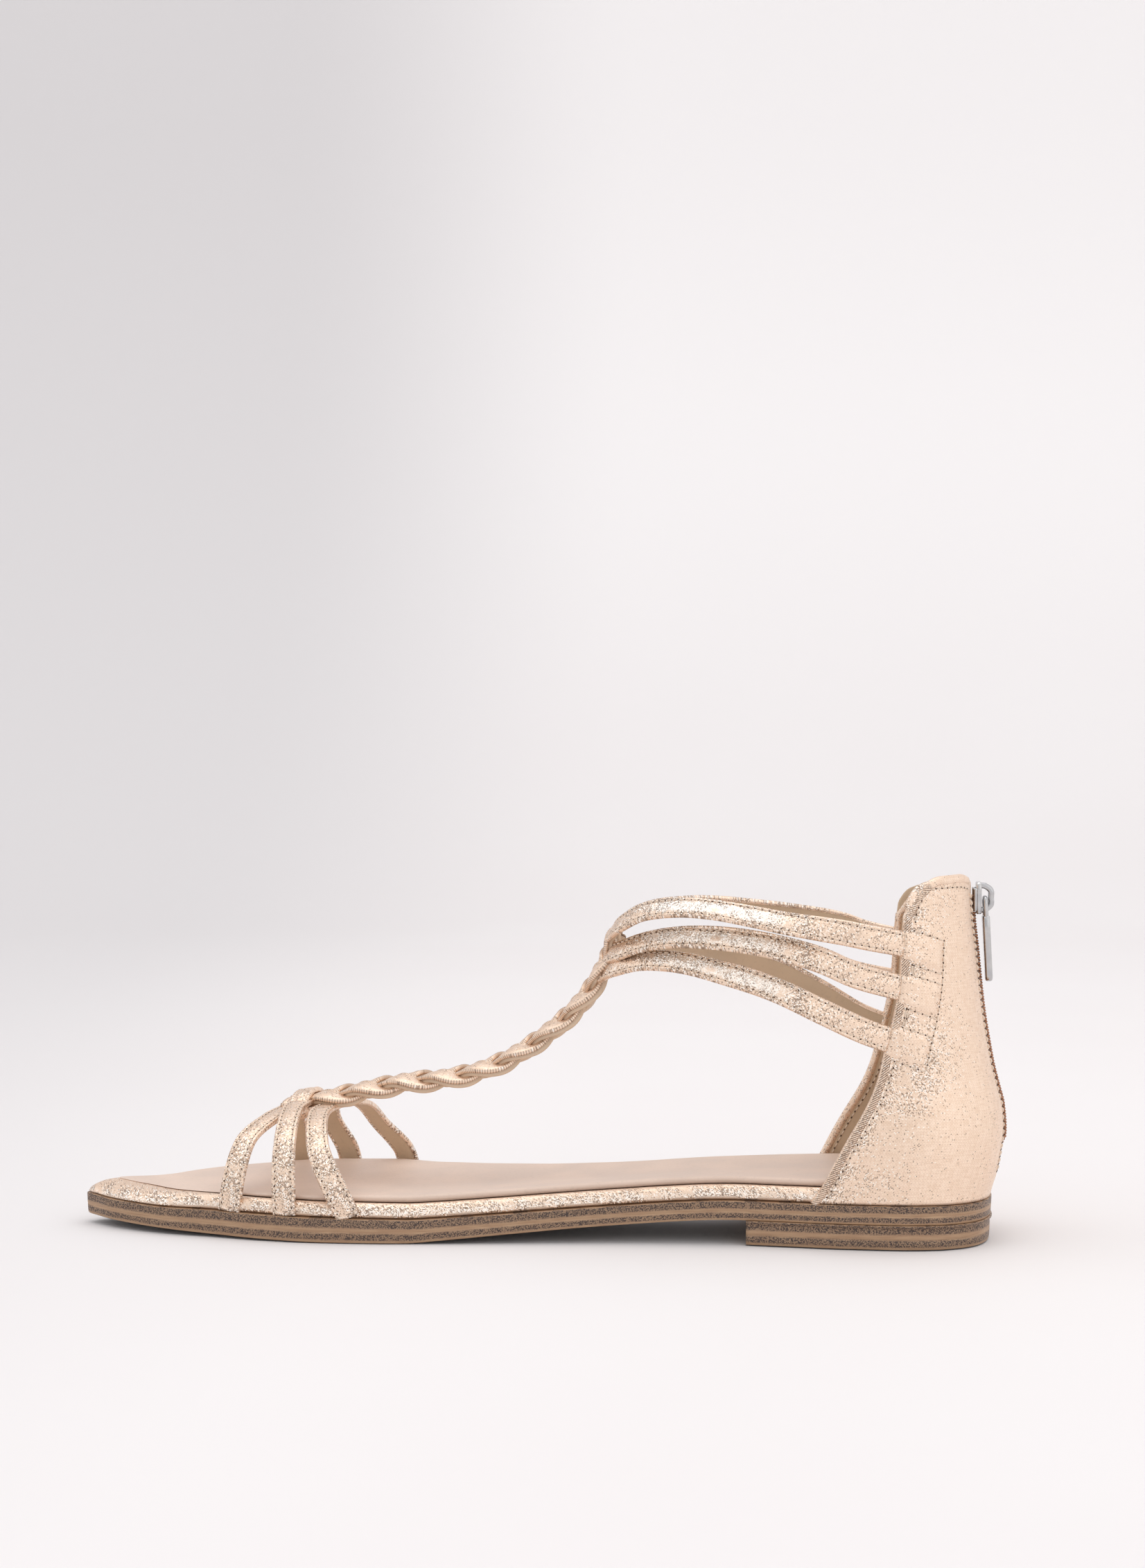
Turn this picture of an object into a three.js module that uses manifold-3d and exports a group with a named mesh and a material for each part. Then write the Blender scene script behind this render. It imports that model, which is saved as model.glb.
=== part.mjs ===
// A left gladiator sandal: flat sole with a low heel, three toe straps a side, a braided bar up the
// foot, three ankle straps a side and a closed heel counter with a zip up its back.
// Millimetres. The toe points to -X, the outer side of the foot is -Y, and Z is up from the floor.
// The origin is on the floor under the middle of the heel.
import * as THREE from "three";
import { mergeVertices } from "three/addons/utils/BufferGeometryUtils.js";
import Module from "manifold-3d";

const wasm = await Module();
wasm.setup();

// Driving sizes
const LENGTH = 256;
const BALL_WIDTH = 76.5;
const HEEL_BACK = 29;
const HEEL_LIFT = 6.9;
const BREAST = 68;
const TOE_SPRING = 2.6;
const SOLE_THICKNESS = 6.6;
const CLEARANCE = 0.3;
const EDGE_MARGIN = 0.3;
const EDGE_ROUNDING = 1.5;
const UPPER_WALL = 1.8;
const BOARD_HEIGHT = 4;
const BOARD_ROUNDING = 1.8;
const SOCK_MARGIN = 2.3;
const SOCK_THICKNESS = 1.5;
const SOCK_DISH = 0.7;
const COUNTER_HEIGHT = 88;
const TOE_ARCH = 27;
const TOE_STRAP_WIDTH = 6.1;
const ANKLE_STRAP_WIDTH = 7;
const STRAP_THICKNESS = 1.8;
const BRAID_PERIOD = 34.5;
const BRAID_SWING = 4.5;
const BRAID_RISE = 1.3;
const BRAID_LEAN = 30;
const STRAND_WIDTH = 6.4;
const STRAND_THICKNESS = 2.4;
const PATCH_LENGTH = 11;
const PATCH_STEP = 0.5;
const ZIP_SLOT = 7;
const ZIP_FOOT = 9.5;
const ZIP_TAPE = 0.9;
const COIL_WIDTH = 3.4;
const COIL_HEIGHT = 1.1;
const SLIDER_WIDTH = 6;
const SLIDER_LENGTH = 9;
const SLIDER_PLATE = 1.4;
const SLIDER_CORNER = 1;
const BRIDGE_WIDTH = 1.7;
const BRIDGE_BAR = 1.1;
const PULL_WIRE = 1.5;
const PULL_EYE = 6.4;
const PULL_TAB = 18.5;
const PULL_WIDTH = 5.4;
const PULL_THICKNESS = 2;
const PULL_TILT = 3;

// Outline of the sole from above. along is a share of LENGTH from the heel's back, outer and inner are
// shares of BALL_WIDTH to each side of the line from the heel's middle.
const OUTLINE = [
  { along: 0, outer: 0.052, inner: -0.052 },
  { along: 0.005, outer: 0.183, inner: 0.078 },
  { along: 0.016, outer: 0.268, inner: 0.176 },
  { along: 0.035, outer: 0.333, inner: 0.281 },
  { along: 0.062, outer: 0.376, inner: 0.342 },
  { along: 0.102, outer: 0.392, inner: 0.379 },
  { along: 0.16, outer: 0.379, inner: 0.379 },
  { along: 0.219, outer: 0.346, inner: 0.353 },
  { along: 0.297, outer: 0.307, inner: 0.294 },
  { along: 0.375, outer: 0.301, inner: 0.275 },
  { along: 0.453, outer: 0.314, inner: 0.314 },
  { along: 0.531, outer: 0.333, inner: 0.418 },
  { along: 0.609, outer: 0.353, inner: 0.549 },
  { along: 0.668, outer: 0.363, inner: 0.627 },
  { along: 0.727, outer: 0.357, inner: 0.637 },
  { along: 0.785, outer: 0.324, inner: 0.588 },
  { along: 0.844, outer: 0.261, inner: 0.51 },
  { along: 0.902, outer: 0.203, inner: 0.392 },
  { along: 0.945, outer: 0.131, inner: 0.248 },
  { along: 0.969, outer: 0.076, inner: 0.15 },
  { along: 0.988, outer: 0.013, inner: 0.098 },
  { along: 1, outer: -0.046, inner: 0.046 },
];

// Side of the sole. lift is a share of HEEL_LIFT, spring of TOE_SPRING and body of SOLE_THICKNESS.
const SIDE = [
  { along: 0, lift: 1, spring: 0, body: 0.82 },
  { along: 0.27, lift: 1, spring: 0, body: 0.82 },
  { along: 0.415, lift: 0.7, spring: 0, body: 0.83 },
  { along: 0.515, lift: 0.38, spring: 0, body: 0.88 },
  { along: 0.59, lift: 0.12, spring: 0, body: 0.95 },
  { along: 0.633, lift: 0, spring: 0, body: 1 },
  { along: 0.711, lift: 0, spring: 0, body: 1.04 },
  { along: 0.775, lift: 0, spring: 0.1, body: 1.06 },
  { along: 0.844, lift: 0, spring: 0.28, body: 1.03 },
  { along: 0.91, lift: 0, spring: 0.58, body: 0.92 },
  { along: 0.969, lift: 0, spring: 0.86, body: 0.91 },
  { along: 1, lift: 0, spring: 1, body: 0.92 },
];

// The sock is padded at the heel and thin at the toe. share is a share of SOCK_THICKNESS.
const SOCK_TAPER = [
  { along: 0, share: 1 },
  { along: 0.62, share: 1 },
  { along: 0.76, share: 0.6 },
  { along: 0.88, share: 0.4 },
  { along: 1, share: 0.4 },
];

// Edge of the outsole and of the heel block. inset is a share of EDGE_ROUNDING in from the outline,
// height a share of the layer.
const OUTSOLE_EDGE = [
  { inset: 1, height: 0 },
  { inset: 0.33, height: 0.08 },
  { inset: 0.13, height: 0.35 },
  { inset: 0.03, height: 0.7 },
  { inset: 0, height: 0.92 },
  { inset: 0.33, height: 1 },
];
const HEEL_EDGE = [
  { inset: 1.13, height: 0 },
  { inset: 0.67, height: 0.1 },
  { inset: 0.5, height: 0.5 },
  { inset: 0.47, height: 0.9 },
  { inset: 0.2, height: 0.94 },
  { inset: 0.2, height: 1 },
];

// Heel counter. height is a share of COUNTER_HEIGHT, back is how far the wall stands behind the sole and
// front how far its front edge lies from the sole's back, both shares of LENGTH. half is a share of
// BALL_WIDTH.
const COUNTER = [
  { height: 0, back: 0, half: 0.39, front: 0.197 },
  { height: 0.03, back: 0.003, half: 0.392, front: 0.189 },
  { height: 0.064, back: 0.007, half: 0.392, front: 0.182 },
  { height: 0.12, back: 0.011, half: 0.389, front: 0.172 },
  { height: 0.2, back: 0.014, half: 0.38, front: 0.157 },
  { height: 0.28, back: 0.012, half: 0.372, front: 0.141 },
  { height: 0.34, back: 0.007, half: 0.364, front: 0.131 },
  { height: 0.41, back: 0.001, half: 0.356, front: 0.123 },
  { height: 0.49, back: -0.004, half: 0.351, front: 0.117 },
  { height: 0.58, back: -0.009, half: 0.347, front: 0.109 },
  { height: 0.68, back: -0.013, half: 0.343, front: 0.103 },
  { height: 0.8, back: -0.017, half: 0.337, front: 0.1 },
  { height: 0.88, back: -0.02, half: 0.33, front: 0.098 },
  { height: 0.936, back: -0.021, half: 0.325, front: 0.096 },
  { height: 0.96, back: -0.022, half: 0.322, front: 0.092 },
  { height: 0.985, back: -0.022, half: 0.32, front: 0.085 },
  { height: 1, back: -0.022, half: 0.319, front: 0.074 },
];

// Top edge of the counter. around runs from the zip (0) to the front edge (1). outer and inner are the
// heights on the two sides, shares of COUNTER_HEIGHT.
const COUNTER_TOP = [
  { around: 0, outer: 0.97, inner: 0.97 },
  { around: 0.2, outer: 0.987, inner: 0.974 },
  { around: 0.5, outer: 1.004, inner: 0.966 },
  { around: 0.8, outer: 1.002, inner: 0.958 },
  { around: 1, outer: 0.99, inner: 0.95 },
];

// Toe straps, over the foot from the outer edge of the sole (around 0) to the inner edge (around 1). The
// other columns say how far along the sole each strap lies, as shares of LENGTH.
const TOE_STRAPS = [
  { around: 0, front: 0.824, middle: 0.761, rear: 0.691 },
  { around: 0.12, front: 0.82, middle: 0.763, rear: 0.709 },
  { around: 0.24, front: 0.812, middle: 0.765, rear: 0.729 },
  { around: 0.36, front: 0.79, middle: 0.766, rear: 0.736 },
  { around: 0.5, front: 0.778, middle: 0.754, rear: 0.722 },
  { around: 0.64, front: 0.779, middle: 0.744, rear: 0.704 },
  { around: 0.76, front: 0.785, middle: 0.746, rear: 0.691 },
  { around: 0.88, front: 0.784, middle: 0.73, rear: 0.662 },
  { around: 1, front: 0.784, middle: 0.723, rear: 0.655 },
];

// Height of each toe strap's ridge, a share of TOE_ARCH
const TOE_RISE = { front: 0.9, middle: 1, rear: 0.97 };

// Ankle straps, from the counter's front edge to the instep. along is a share of LENGTH, side of
// BALL_WIDTH, outerHeight and innerHeight of COUNTER_HEIGHT on the two sides of the foot, and lean is
// how far the strap's face is tipped back, in degrees.
const TOP_STRAP = [
  { along: 0.101, side: 0.34, outerHeight: 0.8, innerHeight: 0.768, lean: 4 },
  { along: 0.137, side: 0.353, outerHeight: 0.822, innerHeight: 0.793, lean: 8 },
  { along: 0.161, side: 0.353, outerHeight: 0.836, innerHeight: 0.818, lean: 14 },
  { along: 0.222, side: 0.346, outerHeight: 0.864, innerHeight: 0.853, lean: 36 },
  { along: 0.259, side: 0.333, outerHeight: 0.884, innerHeight: 0.868, lean: 44 },
  { along: 0.298, side: 0.307, outerHeight: 0.902, innerHeight: 0.881, lean: 48 },
  { along: 0.333, side: 0.268, outerHeight: 0.907, innerHeight: 0.884, lean: 48 },
  { along: 0.376, side: 0.183, outerHeight: 0.888, innerHeight: 0.872, lean: 45 },
  { along: 0.401, side: 0.105, outerHeight: 0.846, innerHeight: 0.84, lean: 40 },
  { along: 0.413, side: 0, outerHeight: 0.812, innerHeight: 0.812, lean: 32 },
];
const MIDDLE_STRAP = [
  { along: 0.106, side: 0.34, outerHeight: 0.665, innerHeight: 0.632, lean: 4 },
  { along: 0.149, side: 0.353, outerHeight: 0.704, innerHeight: 0.66, lean: 8 },
  { along: 0.185, side: 0.353, outerHeight: 0.748, innerHeight: 0.705, lean: 20 },
  { along: 0.234, side: 0.346, outerHeight: 0.788, innerHeight: 0.748, lean: 36 },
  { along: 0.283, side: 0.32, outerHeight: 0.808, innerHeight: 0.775, lean: 44 },
  { along: 0.333, side: 0.261, outerHeight: 0.812, innerHeight: 0.785, lean: 46 },
  { along: 0.376, side: 0.17, outerHeight: 0.791, innerHeight: 0.774, lean: 44 },
  { along: 0.402, side: 0.095, outerHeight: 0.76, innerHeight: 0.752, lean: 38 },
  { along: 0.417, side: 0, outerHeight: 0.738, innerHeight: 0.738, lean: 32 },
];
const LOWER_STRAP = [
  { along: 0.117, side: 0.34, outerHeight: 0.504, innerHeight: 0.488, lean: 4 },
  { along: 0.141, side: 0.35, outerHeight: 0.533, innerHeight: 0.521, lean: 6 },
  { along: 0.185, side: 0.353, outerHeight: 0.592, innerHeight: 0.597, lean: 14 },
  { along: 0.234, side: 0.35, outerHeight: 0.658, innerHeight: 0.671, lean: 28 },
  { along: 0.283, side: 0.327, outerHeight: 0.702, innerHeight: 0.715, lean: 40 },
  { along: 0.333, side: 0.268, outerHeight: 0.734, innerHeight: 0.738, lean: 46 },
  { along: 0.376, side: 0.183, outerHeight: 0.734, innerHeight: 0.736, lean: 46 },
  { along: 0.41, side: 0.095, outerHeight: 0.706, innerHeight: 0.706, lean: 38 },
  { along: 0.424, side: 0, outerHeight: 0.68, innerHeight: 0.68, lean: 32 },
];

// Middle of the braid. along is a share of LENGTH, side of BALL_WIDTH and height of COUNTER_HEIGHT
// above the floor.
const BRAID = [
  { along: 0.778, side: 0.155, height: 0.37 },
  { along: 0.746, side: 0.153, height: 0.384 },
  { along: 0.712, side: 0.139, height: 0.408 },
  { along: 0.649, side: 0.114, height: 0.45 },
  { along: 0.586, side: 0.088, height: 0.476 },
  { along: 0.54, side: 0.068, height: 0.52 },
  { along: 0.493, side: 0.052, height: 0.603 },
  { along: 0.447, side: 0.034, height: 0.724 },
  { along: 0.417, side: 0.019, height: 0.86 },
  { along: 0.403, side: 0.01, height: 0.95 },
];

// Materials
const soleEdge = new THREE.MeshStandardMaterial({ color: 0x9c7c5c, roughness: 0.5, metalness: 0.3 });
const metallicCloth = new THREE.MeshStandardMaterial({ color: 0xe0c6b0, roughness: 0.4, metalness: 0.6 });
const footbedLeather = new THREE.MeshStandardMaterial({ color: 0xe6cfc0, roughness: 0.6, metalness: 0 });
const zipFabric = new THREE.MeshStandardMaterial({ color: 0xc08862, roughness: 0.6, metalness: 0.1 });
const nickel = new THREE.MeshStandardMaterial({ color: 0xc9c5c0, roughness: 0.25, metalness: 1 });

// Smooth interpolation of one column of a table, without overshoot
function slopes(xs, ys) {
  const last = xs.length - 1;
  const step = (i) => (ys[i + 1] - ys[i]) / (xs[i + 1] - xs[i]);
  return xs.map((x, i) => {
    if (i === 0) return step(0);
    if (i === last) return step(last - 1);
    const before = step(i - 1);
    const after = step(i);
    return before * after <= 0 ? 0 : (2 * before * after) / (before + after);
  });
}

function interpolator(xs, ys) {
  const m = slopes(xs, ys);
  return (x) => {
    let i = 0;
    while (i < xs.length - 2 && x > xs[i + 1]) i += 1;
    const width = xs[i + 1] - xs[i];
    const u = Math.min(1, Math.max(0, (x - xs[i]) / width));
    const h00 = (1 + 2 * u) * (1 - u) * (1 - u);
    const h10 = u * (1 - u) * (1 - u);
    const h01 = u * u * (3 - 2 * u);
    const h11 = u * u * (u - 1);
    return h00 * ys[i] + h10 * width * m[i] + h01 * ys[i + 1] + h11 * width * m[i + 1];
  };
}

function column(table, key, value) {
  return interpolator(table.map((row) => row[key]), table.map((row) => row[value]));
}

// The outline is read over an angle from heel to toe, which keeps its two ends round
const angleOf = (along) => Math.acos(1 - 2 * along) / Math.PI;
const alongOf = (angle) => (1 - Math.cos(Math.PI * angle)) / 2;
const outlineAngles = OUTLINE.map((row) => angleOf(row.along));
const outerShare = interpolator(outlineAngles, OUTLINE.map((row) => row.outer));
const innerShare = interpolator(outlineAngles, OUTLINE.map((row) => row.inner));
const liftShare = column(SIDE, "along", "lift");
const springShare = column(SIDE, "along", "spring");
const bodyShare = column(SIDE, "along", "body");

const xAt = (along) => HEEL_BACK - along * LENGTH;
const alongAt = (x) => Math.min(1, Math.max(0, (HEEL_BACK - x) / LENGTH));
const halfWidth = (angle, side) => BALL_WIDTH * (side < 0 ? outerShare(angle) : innerShare(angle));
const treadHeight = (x) => HEEL_LIFT * liftShare(alongAt(x)) + TOE_SPRING * springShare(alongAt(x));
const soleTop = (x) => treadHeight(x) + SOLE_THICKNESS * bodyShare(alongAt(x));
const counterBase = soleTop(0) + CLEARANCE;

// The direction out of the outline at one of its points
function outlineNormal(angle, side) {
  const reach = 0.004;
  const from = Math.max(0, angle - reach);
  const to = Math.min(1, angle + reach);
  const tangent = new THREE.Vector2(
    xAt(alongOf(to)) - xAt(alongOf(from)),
    side * (halfWidth(to, side) - halfWidth(from, side)),
  ).normalize();
  if (angle === 0) return new THREE.Vector2(1, 0);
  if (angle === 1) return new THREE.Vector2(-1, 0);
  return side < 0 ? new THREE.Vector2(-tangent.y, tangent.x) : new THREE.Vector2(tangent.y, -tangent.x);
}

// A point of the outline on one side, moved in from the edge by inset
function outlinePoint(angle, side, inset) {
  const point = new THREE.Vector2(xAt(alongOf(angle)), side * halfWidth(angle, side));
  return point.addScaledVector(outlineNormal(angle, side), -inset);
}

// Pairs of outline points, outer and inner, from the heel toward the toe
const STATIONS = 36;
function outlinePairs(inset, lastAlong = 1) {
  const lastAngle = angleOf(lastAlong);
  const count = lastAlong === 1 ? STATIONS : Math.round(STATIONS * lastAngle);
  const pairs = [];
  for (let i = 0; i <= count; i += 1) {
    const angle = (lastAngle * i) / count;
    pairs.push([outlinePoint(angle, -1, inset), outlinePoint(angle, 1, inset)]);
  }
  if (lastAlong < 1) pairs[count].forEach((point) => point.setX(xAt(lastAlong)));
  return pairs;
}

// A closed layer: rings of outline pairs, each with its own height function, capped above and below.
// columns adds rows of points across the top cap, and dish lowers or raises them.
function layer(rings, columns = 1, dish = () => 0) {
  const vertices = [];
  const triangles = [];
  const add = (x, y, z) => vertices.push(x, y, z) / 3 - 1;
  const closedToe = rings[0].pairs[rings[0].pairs.length - 1][0].distanceTo(
    rings[0].pairs[rings[0].pairs.length - 1][1],
  ) < 1e-6;
  const loops = rings.map(({ pairs, height }) => {
    const last = pairs.length - 1;
    const outer = pairs.map(([p]) => add(p.x, p.y, height(p.x)));
    const inner = pairs.map(([, p], i) => {
      if (i === 0 || (i === last && closedToe)) return outer[i];
      return add(p.x, p.y, height(p.x));
    });
    return { outer, inner };
  });
  const loopOf = ({ outer, inner }) => {
    const back = closedToe ? inner.slice(1, -1) : inner.slice(1);
    return [...outer.slice().reverse(), ...back];
  };
  for (let r = 0; r < loops.length - 1; r += 1) {
    const low = loopOf(loops[r]);
    const high = loopOf(loops[r + 1]);
    low.forEach((a, i) => {
      const j = (i + 1) % low.length;
      triangles.push(a, low[j], high[j], a, high[j], high[i]);
    });
  }
  const cap = (loop, ring, count, up) => {
    const rows = loop.outer.map((o, i) => {
      const n = loop.inner[i];
      if (o === n) return [o];
      const [p, q] = ring.pairs[i];
      const row = [o];
      for (let c = 1; c < count; c += 1) {
        const share = c / count;
        const x = p.x + (q.x - p.x) * share;
        const y = p.y + (q.y - p.y) * share;
        row.push(add(x, y, ring.height(x) + dish(share, alongAt(x))));
      }
      row.push(n);
      return row;
    });
    for (let i = 0; i < rows.length - 1; i += 1) {
      const [a, b] = [rows[i], rows[i + 1]];
      for (let c = 0; c < count; c += 1) {
        const a0 = a[Math.min(c, a.length - 1)];
        const a1 = a[Math.min(c + 1, a.length - 1)];
        const b0 = b[Math.min(c, b.length - 1)];
        const b1 = b[Math.min(c + 1, b.length - 1)];
        const faces = [[a0, a1, b1], [a0, b1, b0]];
        faces.filter((f) => new Set(f).size === 3).forEach(([p, q, r]) => {
          triangles.push(...(up ? [p, q, r] : [p, r, q]));
        });
      }
    }
  };
  cap(loops[0], rings[0], 1, false);
  cap(loops[loops.length - 1], rings[rings.length - 1], columns, true);
  return geometryFrom(vertices, triangles);
}

function geometryFrom(vertices, triangles) {
  const geometry = new THREE.BufferGeometry();
  geometry.setAttribute("position", new THREE.BufferAttribute(new Float32Array(vertices), 3));
  geometry.setIndex(triangles);
  return geometry;
}

function solidFrom(geometry) {
  const merged = mergeVertices(geometry, 1e-4);
  return new wasm.Manifold(new wasm.Mesh({
    numProp: 3,
    vertProperties: new Float32Array(merged.attributes.position.array),
    triVerts: new Uint32Array(merged.index.array),
  }));
}

function geometryOf(solid) {
  const mesh = solid.getMesh();
  return geometryFrom(Array.from(mesh.vertProperties), Array.from(mesh.triVerts));
}

// The same solid with any hollow closed off inside it filled, such as one between crossing straps
function filled(solid) {
  return solid.decompose().reduce((most, shell) => (shell.volume() > most.volume() ? shell : most));
}

// Sole
function outsole() {
  return layer(OUTSOLE_EDGE.map(({ inset, height }) => ({
    pairs: outlinePairs(inset * EDGE_ROUNDING),
    height: (x) => treadHeight(x) + height * (soleTop(x) - treadHeight(x)),
  })));
}

function heelBlock() {
  return layer(HEEL_EDGE.map(({ inset, height }) => ({
    pairs: outlinePairs(inset * EDGE_ROUNDING, BREAST / LENGTH),
    height: () => height * (HEEL_LIFT - CLEARANCE),
  })));
}

// A layer lying on the sole with a rounded upper edge. taper is the share of its thickness at a place.
function roundedLayer(inset, base, thickness, rounding, columns, dish, taper = () => 1) {
  const rings = [{ pairs: outlinePairs(inset), height: (x) => base(x) }];
  const steps = 3;
  for (let k = 0; k <= steps; k += 1) {
    const angle = (k / steps) * (Math.PI / 2);
    const rise = thickness - rounding + rounding * Math.sin(angle);
    rings.push({
      pairs: outlinePairs(inset + rounding * (1 - Math.cos(angle))),
      height: (x) => base(x) + rise * taper(x),
    });
  }
  return layer(rings, columns, dish);
}

const boardInset = EDGE_MARGIN + UPPER_WALL + CLEARANCE;
const boardTop = (x) => soleTop(x) + CLEARANCE + BOARD_HEIGHT;

function insoleBoard() {
  return roundedLayer(boardInset, (x) => soleTop(x) + CLEARANCE, BOARD_HEIGHT, BOARD_ROUNDING, 1);
}

function footbedSock() {
  const dish = (share, along) => {
    const fade = THREE.MathUtils.smoothstep(1 - along, 0.1, 0.4);
    return -SOCK_DISH * fade * Math.sin(Math.PI * share);
  };
  const base = (x) => boardTop(x) + CLEARANCE;
  const share = column(SOCK_TAPER, "along", "share");
  const taper = (x) => share(alongAt(x));
  const inset = boardInset + SOCK_MARGIN;
  return roundedLayer(inset, base, SOCK_THICKNESS, SOCK_THICKNESS / 2, 4, dish, taper);
}

// Heel counter: sections around the heel, from the zip at the back to the front edge on each side
const counterBack = column(COUNTER, "height", "back");
const counterHalf = column(COUNTER, "height", "half");
const counterFront = column(COUNTER, "height", "front");
const outerTop = column(COUNTER_TOP, "around", "outer");
const innerTop = column(COUNTER_TOP, "around", "inner");
const counterTop = (around, side) => (side < 0 ? outerTop(around) : innerTop(around));
const SECTION_POINTS = 48;

function resample(points, count) {
  const lengths = [0];
  points.slice(1).forEach((p, i) => lengths.push(lengths[i] + p.distanceTo(points[i])));
  const total = lengths[lengths.length - 1];
  const result = [];
  let i = 0;
  for (let k = 0; k <= count; k += 1) {
    const at = (total * k) / count;
    while (i < points.length - 2 && lengths[i + 1] < at) i += 1;
    const share = (at - lengths[i]) / (lengths[i + 1] - lengths[i]);
    result.push(points[i].clone().lerp(points[i + 1], Math.min(1, share)));
  }
  return result;
}

function soleSection(height, side) {
  const lastAngle = angleOf(counterFront(height));
  const points = [];
  for (let i = 0; i <= SECTION_POINTS; i += 1) {
    points.push(outlinePoint((lastAngle * i) / SECTION_POINTS, side, EDGE_MARGIN));
  }
  const shift = counterBack(height) * LENGTH;
  points.forEach((p, i) => p.setX(p.x + shift * (1 - i / SECTION_POINTS)));
  return points;
}

function ankleSection(height, side) {
  const back = xAt(-counterBack(height));
  const half = counterHalf(height) * BALL_WIDTH;
  const depth = back - xAt(counterFront(height));
  const power = THREE.MathUtils.lerp(2.6, 2.1, height);
  const round = THREE.MathUtils.lerp(0.4, 0.35, height) * BALL_WIDTH;
  const points = [];
  for (let i = 0; i <= SECTION_POINTS; i += 1) {
    const angle = (i / SECTION_POINTS) * (Math.PI / 2);
    const d = round * (1 - Math.cos(angle) ** (2 / power));
    if (d < depth) points.push(new THREE.Vector2(back - d, side * half * Math.sin(angle) ** (2 / power)));
  }
  const reach = Math.min(1, depth / round);
  const end = half * (1 - (1 - reach) ** power) ** (1 / power);
  points.push(new THREE.Vector2(back - depth, side * end));
  return points;
}

const sections = new Map();
function counterSection(height, side) {
  const key = `${side} ${height.toFixed(5)}`;
  if (!sections.has(key)) {
    const low = resample(soleSection(height, side), SECTION_POINTS);
    const high = resample(ankleSection(height, side), SECTION_POINTS);
    const blend = THREE.MathUtils.smoothstep(height, 0.06, 0.3);
    sections.set(key, resample(low.map((p, i) => p.lerp(high[i], blend)), SECTION_POINTS));
  }
  return sections.get(key);
}

// A point of the counter, around from the zip (0) to the front edge (1), moved in by depth
function counterPoint(side, around, level, depth) {
  const section = counterSection(level, side);
  const at = around * SECTION_POINTS;
  const i = Math.min(SECTION_POINTS - 1, Math.floor(at));
  const point = section[i].clone().lerp(section[i + 1], at - i);
  const tangent = section[Math.min(SECTION_POINTS, i + 2)].clone().sub(section[Math.max(0, i - 1)]);
  tangent.normalize();
  const outward = new THREE.Vector2(side * tangent.y, -side * tangent.x);
  if (around === 0) outward.set(1, 0);
  if (outward.y * side < 0) outward.negate();
  point.addScaledVector(outward, -depth);
  const top = counterTop(around, side) * COUNTER_HEIGHT;
  return new THREE.Vector3(point.x, point.y, counterBase + top * level);
}

function sectionLength(level, side) {
  const section = counterSection(level, side);
  return section.slice(1).reduce((sum, p, i) => sum + p.distanceTo(section[i]), 0);
}

// A closed sheet between an outer and an inner grid of points, point(row, column, depth)
function sheet(rows, columns, point, outerDepth, innerDepth) {
  const vertices = [];
  const triangles = [];
  const grid = (depth) => {
    const start = vertices.length / 3;
    for (let r = 0; r <= rows; r += 1) {
      for (let c = 0; c <= columns; c += 1) vertices.push(...point(r, c, depth).toArray());
    }
    return (r, c) => start + r * (columns + 1) + c;
  };
  const out = grid(outerDepth);
  const inn = grid(innerDepth);
  const quad = (a, b, c, d) => triangles.push(a, b, c, a, c, d);
  for (let r = 0; r < rows; r += 1) {
    for (let c = 0; c < columns; c += 1) {
      quad(out(r, c), out(r, c + 1), out(r + 1, c + 1), out(r + 1, c));
      quad(inn(r, c), inn(r + 1, c), inn(r + 1, c + 1), inn(r, c + 1));
    }
    quad(out(r, 0), out(r + 1, 0), inn(r + 1, 0), inn(r, 0));
    quad(out(r + 1, columns), out(r, columns), inn(r, columns), inn(r + 1, columns));
  }
  for (let c = 0; c < columns; c += 1) {
    quad(out(0, c + 1), out(0, c), inn(0, c), inn(0, c + 1));
    quad(out(rows, c), out(rows, c + 1), inn(rows, c + 1), inn(rows, c));
  }
  return geometryFrom(vertices, triangles);
}

const COUNTER_ROWS = 18;
const COUNTER_COLUMNS = 26;
function counterWall() {
  const levels = [];
  for (let r = 0; r <= COUNTER_ROWS; r += 1) {
    const share = r / COUNTER_ROWS;
    levels.push(1 - (1 - share) ** 1.4);
  }
  const point = (r, c, depth) => {
    const across = (2 * c) / COUNTER_COLUMNS - 1;
    return counterPoint(across < 0 ? -1 : 1, Math.abs(across), levels[r], depth);
  };
  return solidFrom(sheet(COUNTER_ROWS, COUNTER_COLUMNS, point, 0, UPPER_WALL));
}

// Raised end of one ankle strap under the counter's cloth
function strapPatch(side, row) {
  const heightAtEdge = side < 0 ? row.outerHeight : row.innerHeight;
  const [rows, columns] = [2, 4];
  const reach = ANKLE_STRAP_WIDTH / 2 + 0.6;
  const drop = 0.32;
  const point = (r, c, depth) => {
    const fromEdge = 0.6 + (PATCH_LENGTH * (side < 0 ? c : columns - c)) / columns;
    const aside = (r / rows - 0.5) * 2 * reach;
    const wanted = (heightAtEdge * COUNTER_HEIGHT + aside - drop * fromEdge) / COUNTER_HEIGHT;
    const around = 1 - fromEdge / sectionLength(wanted, side);
    return counterPoint(side, around, wanted / counterTop(around, side), depth);
  };
  return solidFrom(sheet(rows, columns, point, -PATCH_STEP, UPPER_WALL / 2));
}

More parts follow.
